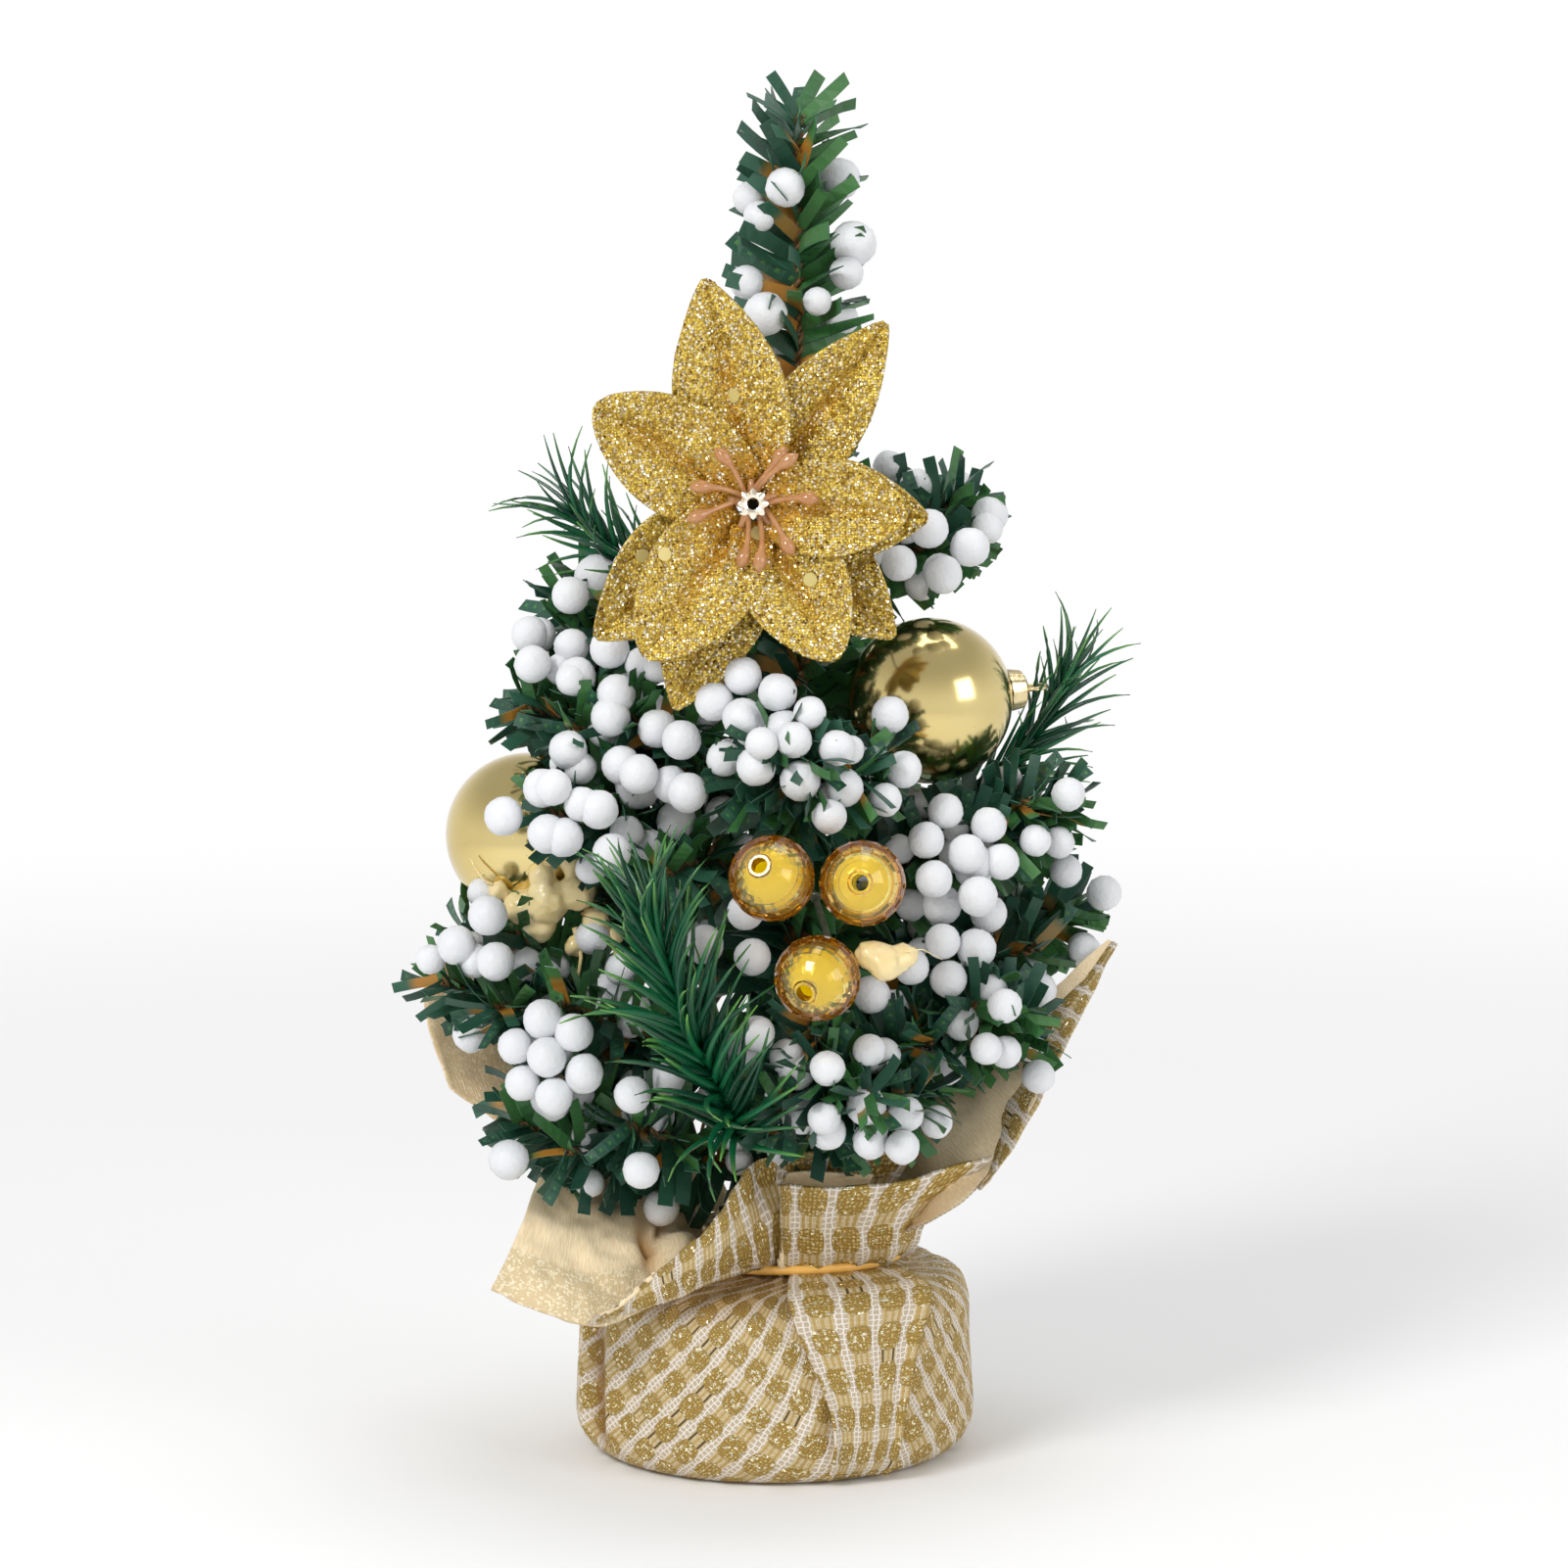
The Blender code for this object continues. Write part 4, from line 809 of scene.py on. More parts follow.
FILM = make_film()
WIRE_CORE, tree, shader = new_material("rusty_wire", {"Roughness": 0.6, "Metallic": 0.5})
rust = grain(tree, 1200.0, object_place(tree))
tree.links.new(shade(tree, rust, (0.09, 0.05, 0.02, 1), (0.24, 0.13, 0.04, 1)), shader.inputs["Base Color"])
bumped(tree, shader, rust, 0.00008)

STRIP_LENGTH = 10.0 * MM
STRIPS = variants(
    "film_strips",
    [
        strip(f"film_strip_{k}", STRIP_LENGTH, (1.9 + 0.15 * (k % 3)) * MM, curl, twist, 5, 0.14 * MM)
        for k, (curl, twist) in enumerate(((0.25, 0.2), (-0.3, 0.6), (0.7, -0.3), (0.1, -0.8), (-0.6, 0.3), (0.4, 0.9)))
    ],
)


def stem_line(body, node):
    """The middle of a stem, from the bend to the tip, read off its solid."""
    joint = next(j for j in frame["joints"] if j["child"] == body)
    root = Vector(joint["pos_m"])
    corners = np.array([v.co for v in frame["nodes"][node].data.vertices])
    far = np.linalg.norm(corners - np.array(root), axis=1)
    tip = Vector(corners[far > far.max() - 1.2 * MM].mean(axis=0))
    return root, tip


def bowed(root, tip, bow, count=9):
    """A line that dips in the middle or lifts at its tip, by bow."""
    return [root.lerp(tip, k / (count - 1)) + Vector((0, 0, bow)) * math.sin(math.pi * k / (count - 1)) for k in range(count)]


def twisted(line, pitch, radius, wire):
    """Two wires wound round each other along a line."""
    length = sum((b - a).length for a, b in zip(line, line[1:]))
    count = int(length / pitch * 8) + 2
    walk, _ = along_line([tuple(p) for p in line])
    way = (line[-1] - line[0]).normalized()
    up = way.orthogonal().normalized()
    side = way.cross(up)
    paths = []
    for start in (0.0, math.pi):
        path = []
        for k in range(count):
            t = k / (count - 1)
            a = start + math.tau * length * t / pitch
            path.append((Vector(walk(t)) + (up * math.cos(a) + side * math.sin(a)) * radius, wire))
        paths.append(path)
    return paths


def forks(root, tip, name):
    """Side twigs, level with the stem and a little shorter, two on most stems."""
    way = tip - root
    length = way.length
    seed = sum(ord(letter) for letter in name)
    made = []
    twigs = ((0.30, 36, 0.50, 2.0), (0.42, -37, 0.46, -1.0), (0.58, 31, 0.36, -2.5), (0.66, -30, 0.30, 3.0))
    if name == "left_low":
        twigs = ((0.30, 36, 0.50, 2.0), (0.45, -10, 0.36, 4.0), (0.58, 31, 0.36, -2.5))  # the cloth stands behind these
    twigs += {"left_low": ((0.40, 14, 0.42, 11.0), (0.62, -14, 0.30, 9.0)), "front_low": ((0.35, 24, 0.45, 9.0), (0.50, -28, 0.40, 10.0))}.get(name, ())
    if name == "left_front":
        twigs = ((0.30, 34, 0.42, -7.0), (0.50, -24, 0.30, 7.0))  # these pass over and beside the ball that hangs here
    for k, (share, spread, reach, lift) in enumerate(() if name == "leader" else twigs):
        start = root + way * share
        turn = Quaternion((0, 0, 1), math.radians(spread + (seed * (k + 3)) % 9 - 4))
        rise = Vector((0, 0, (lift + (seed * (k + 5)) % 3 - 1.0) * MM))
        made.append((start, start + turn @ way * reach + rise))
    return made


FOLIAGE = {"Shapes": STRIPS, "Finish": FILM, "Turn": 2.4, "Turn Spread": 0.5, "Lean Foot": 1.25, "Lean Tip": 0.75, "Lean Spread": 0.22, "Size": 1.0, "Size Spread": 0.13, "Tip Size": 0.75, "Roll": 1.0}
STRIP_PITCH = 0.40 * MM
lines_of = {}
for body, nodes in frame["record"]["behaviour"]["bodies"].items():
    if body == "tree":
        continue
    name = body.replace("branch_", "")
    node = "stem_" + name
    root, tip = stem_line(body, node)
    tip = tip.lerp(root, (4.5 if name == "leader" else 3.5) * MM / (tip - root).length)
    main = bowed(root, tip, -0.6 * MM)
    lines = [main] + [bowed(a, b, 0.4 * MM, 5) for a, b in forks(root, tip, name)]
    lines_of[name] = lines
    brushes = []
    for k, line in enumerate(lines):
        length = (line[-1] - line[0]).length
        bare = 0.09 if k == 0 and name != "leader" else 0.02
        start = line[0].lerp(line[-1], bare)
        seed = 7 * len(lines_of) + k
        count = int(length * (1 - bare) / STRIP_PITCH)
        style = {**FOLIAGE, "Lean Foot": 1.35, "Lean Tip": 0.95, "Tip Size": 0.85, "Size": 1.12} if name == "leader" else FOLIAGE
        brushes.append(brushed([start] + line[1:], {**style, "Count": count, "Seed": seed}))
    show("tinsel_" + name, joined("tinsel_" + name, brushes), body, [node])
    wires = [path for line in lines for path in twisted(line, 3.4 * MM, 0.42 * MM, 0.40 * MM)]
    core = sweep("core_" + name, wires, 6)
    core.materials.append(WIRE_CORE)
    show("core_" + name, core, body)

# --- trunk --------------------------------------------------------------------------------------------------
# The roots of the stems, wound one over the other on a bundle of wires, with their strips sticking out.

trunk_low, trunk_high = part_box("trunk")
TRUNK_X = (trunk_low.x + trunk_high.x) / 2
TRUNK_WIRE = 1.25 * MM


def trunk_paths():
    paths = []
    for start in range(3):
        path = []
        for k in range(221):
            t = k / 220
            height = trunk_low.z + (trunk_high.z - trunk_low.z) * t
            a = math.tau * (start / 3 + (height - trunk_low.z) / (13 * MM))
            reach = 1.05 * MM
            path.append((Vector((TRUNK_X + reach * math.cos(a), reach * math.sin(a), height)), TRUNK_WIRE))
        paths.append(path)
    return paths


trunk_mesh = sweep("trunk_bundle", trunk_paths(), 8)
trunk_mesh.materials.append(WIRE_CORE)
show("trunk_bundle", trunk_mesh, "tree", ["trunk"])
trunk_line = [Vector((TRUNK_X, 0, NECK_TOP + (trunk_high.z - NECK_TOP) * k / 8)) for k in range(9)]
wound = brushed(
    trunk_line,
    {**FOLIAGE, "Count": 520, "Seed": 91, "Lean Foot": 1.45, "Lean Tip": 1.2, "Lean Spread": 0.5, "Size": 1.1, "Size Spread": 0.25, "Tip Size": 0.9},
)
show("tinsel_trunk", wound, "tree")

# --- foam berries -------------------------------------------------------------------------------------------
# Balls of white foam, glued among the strips.  The foam has a faint pebbled skin and a few flat spots.


def berry(name, radius, stand, seed):
    """A foam ball that stands off the wire along +Z."""
    rings, sides = 9, 14
    points, faces = [], []

    def place(theta, phi):
        way = Vector((math.sin(theta) * math.cos(phi), math.sin(theta) * math.sin(phi), math.cos(theta)))
        dent = 1 + 0.045 * noise.noise(way * 1.6 + Vector((seed, 0, 0)))
        return way * radius * dent + Vector((0, 0, stand))

    points.append(place(0, 0))
    for i in range(1, rings):
        points += [place(math.pi * i / rings, math.tau * j / sides) for j in range(sides)]
    points.append(place(math.pi, 0))
    last = len(points) - 1
    for j in range(sides):
        k = (j + 1) % sides
        faces.append((0, 1 + j, 1 + k))
        for i in range(rings - 2):
            a, b = 1 + i * sides, 1 + (i + 1) * sides
            faces.append((a + j, b + j, b + k, a + k))
        bottom = 1 + (rings - 2) * sides
        faces.append((bottom + j, last, bottom + k))
    mesh = bpy.data.meshes.new(name)
    mesh.from_pydata(points, [], faces)
    mesh.shade_smooth()
    return mesh


FOAM, tree, shader = new_material(
    "white_foam", {"Roughness": 0.52, "Subsurface Weight": 0.12, "Subsurface Radius": (0.001, 0.001, 0.0012), "Specular IOR Level": 0.4}
)
pebble = cells(tree, 1500.0, object_place(tree))["Distance"]
patchy = grain(tree, 160.0, object_place(tree))
tree.links.new(shade(tree, patchy, (0.69, 0.70, 0.72, 1), (0.78, 0.79, 0.81, 1)), shader.inputs["Base Color"])
bumped(tree, shader, sums(tree, "ADD", pebble, sums(tree, "MULTIPLY", patchy, 2.0)), 0.00006)

BERRIES = variants("foam_balls", [berry(f"foam_ball_{k}", (2.2 + 0.25 * k) * MM, (7.4 + 0.5 * (k % 3)) * MM, 3.1 * k) for k in range(5)])
SCATTER = {"Shapes": BERRIES, "Finish": FOAM, "Swing": 1.25, "Turn Spread": 0.3, "Lean Foot": 1.5, "Lean Tip": 1.1, "Lean Spread": 0.1, "Size": 1.0, "Size Spread": 0.05, "Tip Size": 0.95, "Roll": 0.0}
BERRY_PITCH = 3.7 * MM


def patch(centre, facing, count, loose=0.3, radius=2.75 * MM):
    """Berries glued in a close patch: one in the middle and rings round it."""
    facing = facing.normalized()
    across = facing.cross(Vector((0, 0, 1))).normalized()
    up = across.cross(facing)
    rng = random.Random(count * 31 + int(centre.x * 1e5))
    places = [(0.0, 0.0)]
    ring = 1
    while len(places) < count:
        places += [(ring, math.tau * k / (6 * ring) + 0.3 * ring) for k in range(6 * ring)]
        ring += 1
    made = []
    for k, (ring, a) in enumerate(places[:count]):
        reach = ring * radius * (1.93 + 0.6 * max(loose - 0.4, 0.0))
        bulge = facing * (-0.22 * reach * reach / (radius * 4))
        centre_k = centre + across * reach * math.cos(a) + up * reach * math.sin(a) + bulge
        centre_k += Vector([rng.uniform(-1, 1) * min(loose, 0.5) * MM for _ in range(3)])
        mesh = BERRIES.objects[k % 5].data.copy()
        size = radius * rng.uniform(0.93, 1.06) / ((2.2 + 0.25 * (k % 5)) * MM)
        mesh.transform(Matrix.Translation(-Vector((0, 0, (7.4 + 0.5 * ((k % 5) % 3)) * MM))))
        mesh.transform(Matrix.Translation(centre_k) @ Matrix.Scale(size, 4))
        mesh.materials.clear()
        mesh.materials.append(FOAM)
        made.append(mesh)
    return made


def start_towards(way):
    """The brush's start angle that points to the outside and a little up, for a stem that runs this way."""
    first = way.cross(Vector((0.31, 0.17, 0.93))).normalized()
    wanted = Vector((0.3 * way.x, -1.0 if way.y < 0.35 else 1.0, 0.45))
    wanted = (wanted - way * wanted.dot(way)).normalized()
    return math.atan2(way.dot(first.cross(wanted)), first.dot(wanted))


# body: patches of berries as centre in millimetres, the way they face, and how many
PATCHES = {
    "left_top": [((-29, -15, 120), (-0.4, -1, 0.2), 3, 1.6), ((-22, -22, 114), (-0.2, -1, 0), 4, 1.4)],
    "left_mid": [((-22, -26, 104), (-0.2, -1, 0.2), 5, 1.8), ((-12, -31, 101), (-0.1, -1, 0), 4, 1.6)],
    "left_front": [((-32, -30, 95), (-0.3, -1, 0.1), 4, 1.4), ((-23, -31, 92.5), (-0.1, -1, -0.1), 3, 1.2)],
    "left_low": [((-40, -21, 75), (-0.4, -1, 0), 3, 1.4)],
    "left_bottom": [((-32, -30, 63), (-0.3, -1, 0.1), 7), ((-20, -32, 58), (-0.2, -1, -0.2), 2, 1.5)],
    "front_mid": [((-4, -34, 112), (-0.3, -1, 0.2), 5, 0.6), ((4, -37, 103.5), (0.1, -1, -0.3), 5, 1.1)],
    "right_top": [((24, -15, 130), (0.4, -1, -0.1), 4, 1.2)],
    "right_mid": [((27, -25, 92), (0.35, -1, 0.4), 7, 0.9), ((18, -29, 104), (0.2, -1, 0.2), 3, 1.8)],
    "right_back": [((31, -21, 82), (0.35, -1, 0.1), 3, 1.5)],
    "right_low": [((25, -28, 74), (0.3, -1, 0.0), 6, 0.8), ((14, -36, 52), (0.2, -1, -0.3), 4, 1.0)],
    "front_low": [((-3, -35, 78), (-0.1, -1, 0.1), 3, 1.4), ((3, -35, 62), (0, -1, 0), 2, 2.0)],
}

for name, lines in lines_of.items():
    body = name if name == "leader" else "branch_" + name
    brushes = []
    for k, line in enumerate(lines):
        length = (line[-1] - line[0]).length
        start = line[0].lerp(line[-1], 0.22)
        count = max(2, int(length * 0.78 / (BERRY_PITCH * (1.0 if k == 0 else 1.5))))
        way = (line[-1] - line[0]).normalized()
        ways = {"Turn": 2.95, "Start": 1.9, "Count": 15, "Size Spread": 0.08} if name == "leader" else {"Start": start_towards(way), "Count": count}
        end = -2 if name == "leader" else len(line)
        brushes.append(brushed([start] + line[2:end], {**SCATTER, **ways, "Seed": 31 * len(name) + k}))
    for centre, facing, *rest in PATCHES.get(name, []):
        brushes += patch(Vector(centre) * MM, Vector(facing), *rest)
    show("foam_" + name, joined("foam_" + name, brushes), body, ["berries_" + name])

# --- flower -------------------------------------------------------------------------------------------------
# Ten petals in two layers, stamped from stiff cloth, coated with gold glitter and creased by hand.


eyelet_low, eyelet_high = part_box("flower_eyelet")
FLOWER_TILT = math.radians(6)
flower_middle = (eyelet_low + eyelet_high) / 2
flower_face = Vector((0, -math.cos(FLOWER_TILT), math.sin(FLOWER_TILT)))
flower_up = Vector((0, math.sin(FLOWER_TILT), math.cos(FLOWER_TILT)))
flower_turn = Matrix((Vector((1, 0, 0)), flower_up, flower_face)).transposed().to_4x4()
front_low, front_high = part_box("petals_front")
petal_plane = Vector((flower_middle.x, front_high.y - 1.4 * MM, flower_middle.z + 2.2 * MM))


def make_glitter():
    made, tree, shader = new_material("glitter_coat", {"Specular IOR Level": 0.6})
    place = object_place(tree)
    cell = cells(tree, 2600.0, place)
    parts = add(tree, "ShaderNodeSeparateColor", {0: cell["Color"]}).outputs
    fold = add(tree, "ShaderNodeAttribute", attribute_name="fold").outputs["Fac"]
    gold = shade(tree, parts[0], (0.50, 0.33, 0.02, 1), (0.88, 0.67, 0.13, 1))
    gold = shade(tree, step(tree, parts[2], 0.90, 0.93), gold, (0.16, 0.08, 0.004, 1))
    gap = step(tree, cell["Distance"], 0.35, 0.75)
    gold = shade(tree, gap, gold, (0.30, 0.17, 0.012, 1))
    # Painted shade: the 'fold' mark darkens the glitter to deep orange in the petals' creases, round the hub and in the
    # dips of their waves.
    gold = shade(tree, sums(tree, "MULTIPLY", step(tree, fold, 0.05, 0.9), 0.85), gold, (0.46, 0.21, 0.004, 1))
    # Painted glints: random flakes are painted near-white, fewer of them in the folds.
    lit = step(tree, sums(tree, "SUBTRACT", parts[1], sums(tree, "MULTIPLY", fold, 0.12)), 0.80, 0.83)
    lit = sums(tree, "MULTIPLY", lit, sums(tree, "SUBTRACT", 1.0, gap))
    gold = shade(tree, lit, gold, (1.0, 0.95, 0.78, 1))
    tree.links.new(gold, shader.inputs["Base Color"])
    tree.links.new(sums(tree, "MULTIPLY_ADD", step(tree, gap, 1.0, 0.0), 0.55, 0.1), shader.inputs["Metallic"])
    tree.links.new(sums(tree, "MULTIPLY_ADD", parts[2], 0.35, 0.18), shader.inputs["Roughness"])
    normal = add(tree, "ShaderNodeNewGeometry").outputs["Normal"]
    tilt = add(tree, "ShaderNodeVectorMath", {0: cell["Color"], 1: (0.5, 0.5, 0.5)}, operation="SUBTRACT").outputs[0]
    tilt = add(tree, "ShaderNodeVectorMath", {0: tilt, "Scale": 1.1}, operation="SCALE").outputs[0]
    turned = add(tree, "ShaderNodeVectorMath", {0: normal, 1: tilt}, operation="ADD").outputs[0]
    turned = add(tree, "ShaderNodeVectorMath", {0: turned}, operation="NORMALIZE").outputs[0]
    bumped(tree, shader, step(tree, cell["Distance"], 0.7, 0.1), 0.00008, 0.7, turned)
    return made


GLITTER = make_glitter()
FRONT_PETALS = (
    (102, 32, 16.0, 4.0, 0.0),
    (148, 25.8, 16.0, 5.5, 1.0),
    (235, 26, 16.0, 7.0, 1.0),
    (298, 24.5, 15.0, 5.0, 1.0),
    (357, 21.5, 13.5, 6.0, 0.6),
)
BACK_PETALS = (
    (54, 31.5, 13.5, 1.5, 0.0),
    (-4, 24.5, 14.5, 1.0, 0.0),
    (-43, 27, 14.0, -0.5, 0.0),
    (249, 30.5, 15.0, 0.8, 0.0),
    (220, 28.8, 16.0, 0.4, 0.0),
)


def petal_layer(name, petals, depth, node, seed):
    """All the petals of one layer as cloth shells round the hub."""
    points, faces, folds = [], [], []
    rows, columns = 30, 20
    for n, (angle, length, width, lift, bluntness) in enumerate(petals):
        a = math.radians(angle)
        first = len(points)
        for i in range(rows + 1):
            u = i / rows
            span = 0.10 + 0.90 * u
            shape = math.sin(math.pi * span) ** (0.62 if bluntness else 0.85)
            half = width / 2 * (shape * (1 - 0.10 * u)) + 0.35
            reach = 2.2 + (length - 2.2) * u
            for j in range(columns + 1):
                v = 2 * j / columns - 1
                x = reach - (abs(v) ** 1.6) * 1.2 * (1 - u)
                y = v * half
                crease = -1.9 * math.exp(-((v / 0.14) ** 2)) * (1 - u**3) * (0.3 + u)
                cup = lift * (u**1.7) - 3.2 * bluntness * max(u - 0.72, 0) ** 1.2 + 1.6 * v * v * (0.2 + math.sin(math.pi * u))
                wave = 1.1 * noise.noise(Vector((x * 0.13 + 7 * n, y * 0.16, seed))) + 0.45 * noise.noise(Vector((x * 0.4, y * 0.4 + 9 * n, seed)))
                z = crease + cup + wave * (0.3 + u) + 0.35 * n * (1 - u) + 0.12 * n
                spot = Vector((x * math.cos(a) - y * math.sin(a), x * math.sin(a) + y * math.cos(a), z + depth)) * MM
                points.append(spot)
                # Painted shade share for each point: along the middle crease, round the hub and in the dips of the
                # wave.
                folds.append(math.exp(-((v / 0.20) ** 2)) * (1 - u) + 0.9 * math.exp(-((u / 0.22) ** 2)) + 0.35 * max(-wave, 0))
        wide = columns + 1
        for i in range(rows):
            for j in range(columns):
                k = first + i * wide + j
                faces.append((k, k + wide, k + wide + 1, k + 1))
    mesh = bpy.data.meshes.new(name)
    mesh.from_pydata(points, [], faces)
    mesh.attributes.new("fold", "FLOAT", "POINT").data.foreach_set("value", folds)
    mesh.transform(Matrix.Translation(petal_plane) @ flower_turn)
    mesh.materials.append(GLITTER)
    mesh.shade_smooth()
    obj = bpy.data.objects.new(name, mesh)
    bpy.context.scene.collection.objects.link(obj)
    wall = obj.modifiers.new("wall", "SOLIDIFY")
    wall.thickness = 0.4 * MM
    wall.offset = 0.0
    return plain_mesh(obj)


def flake_tree():
    """Geometry Nodes: loose hexagonal flakes of glitter lie over a surface, each at its own tilt."""
    tree = bpy.data.node_groups.new("flakes", "GeometryNodeTree")
    face = tree.interface
    face.new_socket("Cloth", in_out="INPUT", socket_type="NodeSocketGeometry")
    face.new_socket("Flake Radius", in_out="INPUT", socket_type="NodeSocketFloat")
    face.new_socket("Per Area", in_out="INPUT", socket_type="NodeSocketFloat")
    face.new_socket("Tilt", in_out="INPUT", socket_type="NodeSocketFloat")
    face.new_socket("Finish", in_out="INPUT", socket_type="NodeSocketMaterial")
    face.new_socket("Mesh", in_out="OUTPUT", socket_type="NodeSocketGeometry")
    given = add(tree, "NodeGroupInput").outputs
    spots = add(tree, "GeometryNodeDistributePointsOnFaces", {"Mesh": given["Cloth"], "Density": given["Per Area"], "Seed": 5}).outputs
    flake = add(tree, "GeometryNodeMeshCircle", {"Vertices": 6, "Radius": given["Flake Radius"]}, fill_type="NGON").outputs[0]
    flake = add(tree, "GeometryNodeExtrudeMesh", {"Mesh": flake, "Offset Scale": 0.00003}).outputs[0]
    least = sums(tree, "MULTIPLY", given["Tilt"], -1.0)
    lows = add(tree, "ShaderNodeCombineXYZ", {0: least, 1: least, 2: -3.0}).outputs[0]
    highs = add(tree, "ShaderNodeCombineXYZ", {0: given["Tilt"], 1: given["Tilt"], 2: 3.0}).outputs[0]
    wobble = add(tree, "FunctionNodeRandomValue", {0: lows, 1: highs, "Seed": 8}, data_type="FLOAT_VECTOR").outputs[0]
    wobble = add(tree, "FunctionNodeEulerToRotation", {0: wobble}).outputs[0]
    facing = add(tree, "FunctionNodeRotateRotation", {0: spots["Rotation"], 1: wobble}, rotation_space="LOCAL").outputs[0]
    placed = add(tree, "GeometryNodeInstanceOnPoints", {"Points": spots[0], "Instance": flake, "Rotation": facing}).outputs[0]
    real = add(tree, "GeometryNodeRealizeInstances", {0: placed}).outputs[0]
    done = add(tree, "GeometryNodeSetMaterial", {"Geometry": real, "Material": given["Finish"]}).outputs[0]
    add(tree, "NodeGroupOutput", {0: done})
    return tree


FLAKE, tree, shader = new_material("glitter_flake", {"Metallic": 1.0, "Roughness": 0.16, "Base Color": (0.98, 0.80, 0.38, 1)})
flake_noise = add(tree, "ShaderNodeSeparateColor", {0: cells(tree, 1800.0, object_place(tree))["Color"]}).outputs[0]
tree.links.new(shade(tree, flake_noise, (0.86, 0.62, 0.20, 1), (1.0, 0.93, 0.68, 1)), shader.inputs["Base Color"])
FLAKES = flake_tree()


def flaked(mesh, density):
    obj = bpy.data.objects.new("flakes", mesh.copy())
    bpy.context.scene.collection.objects.link(obj)
    strew = obj.modifiers.new("strew", "NODES")
    strew.node_group = FLAKES
    values = {"Flake Radius": 0.17 * MM, "Per Area": density, "Tilt": 0.6, "Finish": FLAKE}
    for item in FLAKES.interface.items_tree:
        if item.in_out == "INPUT" and item.name in values:
            strew[item.identifier] = values[item.name]
    return plain_mesh(obj)


petal_layers = []
for name, petals, depth, node, seed in (
    ("glitter_petals_front", FRONT_PETALS, 0.0, "petals_front", 2.0),
    ("glitter_petals_back", BACK_PETALS, -2.2, "petals_back", 5.0),
):
    mesh = petal_layer(name, petals, depth, node, seed)
    petal_layers.append(BVHTree.FromPolygons([v.co for v in mesh.vertices], [f.vertices for f in mesh.polygons]))
    flakes = flaked(mesh, 1.6e6)
    show(name, joined(name, [mesh, flakes]), "tree", [node])

# The stamens are moulded in one clear copper-tinted piece: thin filaments with a drop at each end.
COPPER, tree, shader = new_material(
    "copper_plastic", {"Roughness": 0.08, "IOR": 1.47, "Transmission Weight": 0.35, "Coat Weight": 0.6}
)
swirl = grain(tree, 420.0, object_place(tree))
tree.links.new(shade(tree, swirl, (0.48, 0.19, 0.05, 1), (0.78, 0.42, 0.19, 1)), shader.inputs["Base Color"])
bumped(tree, shader, grain(tree, 1400.0, object_place(tree)), 0.00008)


def flower_place(x, y, z):
    return petal_plane + flower_turn.to_3x3() @ (Vector((x, y, z)) * MM)


paths = []
for k in range(9):
    a = math.tau * (k + 0.35 * math.sin(2.3 * k)) / 9
    reach = 9.3 + 0.9 * math.sin(3.1 * k)
    path = []
    for n in range(12):
        t = n / 11
        out = 1.4 + (reach - 1.4) * t
        side = 0.9 * math.sin(2.6 * t + k)
        rise = 2.2 + 2.6 * math.sin(1.7 * t) + 0.7 * math.sin(k * 1.9) * t
        drop = math.exp(-(((t - 0.80) / 0.15) ** 2))
        radius = (0.38 + 0.68 * drop) * (1.0 if n < 11 else 0.35)
        path.append((flower_place(out * math.cos(a) - side * math.sin(a), out * math.sin(a) + side * math.cos(a), rise), radius * MM))
    paths.append(path)
for k in range(5):
    a = math.tau * k / 5 + 0.4
    path = [(flower_place(r * math.cos(a), r * math.sin(a), 1.8 + 0.15 * r), (1.1 - 0.2 * r) * MM) for r in (0.8, 1.8, 2.8, 3.6)]
    paths.append(path)
stamens = sweep("copper_stamens", paths, 8)
stamens.materials.append(COPPER)
show("copper_stamens", stamens, "tree", ["stamens"])


def lathe(name, profile, sides, smooth_shading=True):
    """A turned body round +Z from a closed profile of (radius, height), in millimetres."""
    points, faces, rings = [], [], []
    for radius, height in profile:
        if radius < 1e-6:
            rings.append([len(points)])
            points.append((0, 0, height * MM))
            continue
        rings.append([len(points) + n for n in range(sides)])
        angles = (math.tau * n / sides for n in range(sides))
        points += [(radius * math.cos(a) * MM, radius * math.sin(a) * MM, height * MM) for a in angles]
    for one, two in zip(rings, rings[1:] + rings[:1]):
        if len(one) == 1 and len(two) == 1:
            continue
        for n in range(sides):
            m = (n + 1) % sides
            if len(one) == 1:
                faces.append((one[0], two[n], two[m]))
            elif len(two) == 1:
                faces.append((one[n], two[0], one[m]))
            else:
                faces.append((one[n], two[n], two[m], one[m]))
    mesh = bpy.data.meshes.new(name)
    mesh.from_pydata(points, [], faces)
    if smooth_shading:
        mesh.shade_smooth()
        mesh.set_sharp_from_angle(angle=math.radians(38))
    return mesh


def stood(mesh, centre, way):
    """The mesh with its +Z turned to a way and moved to a centre."""
    turn = Vector(way).normalized().to_track_quat("Z", "Y").to_matrix().to_4x4()
    mesh.transform(Matrix.Translation(centre) @ turn)
    return mesh


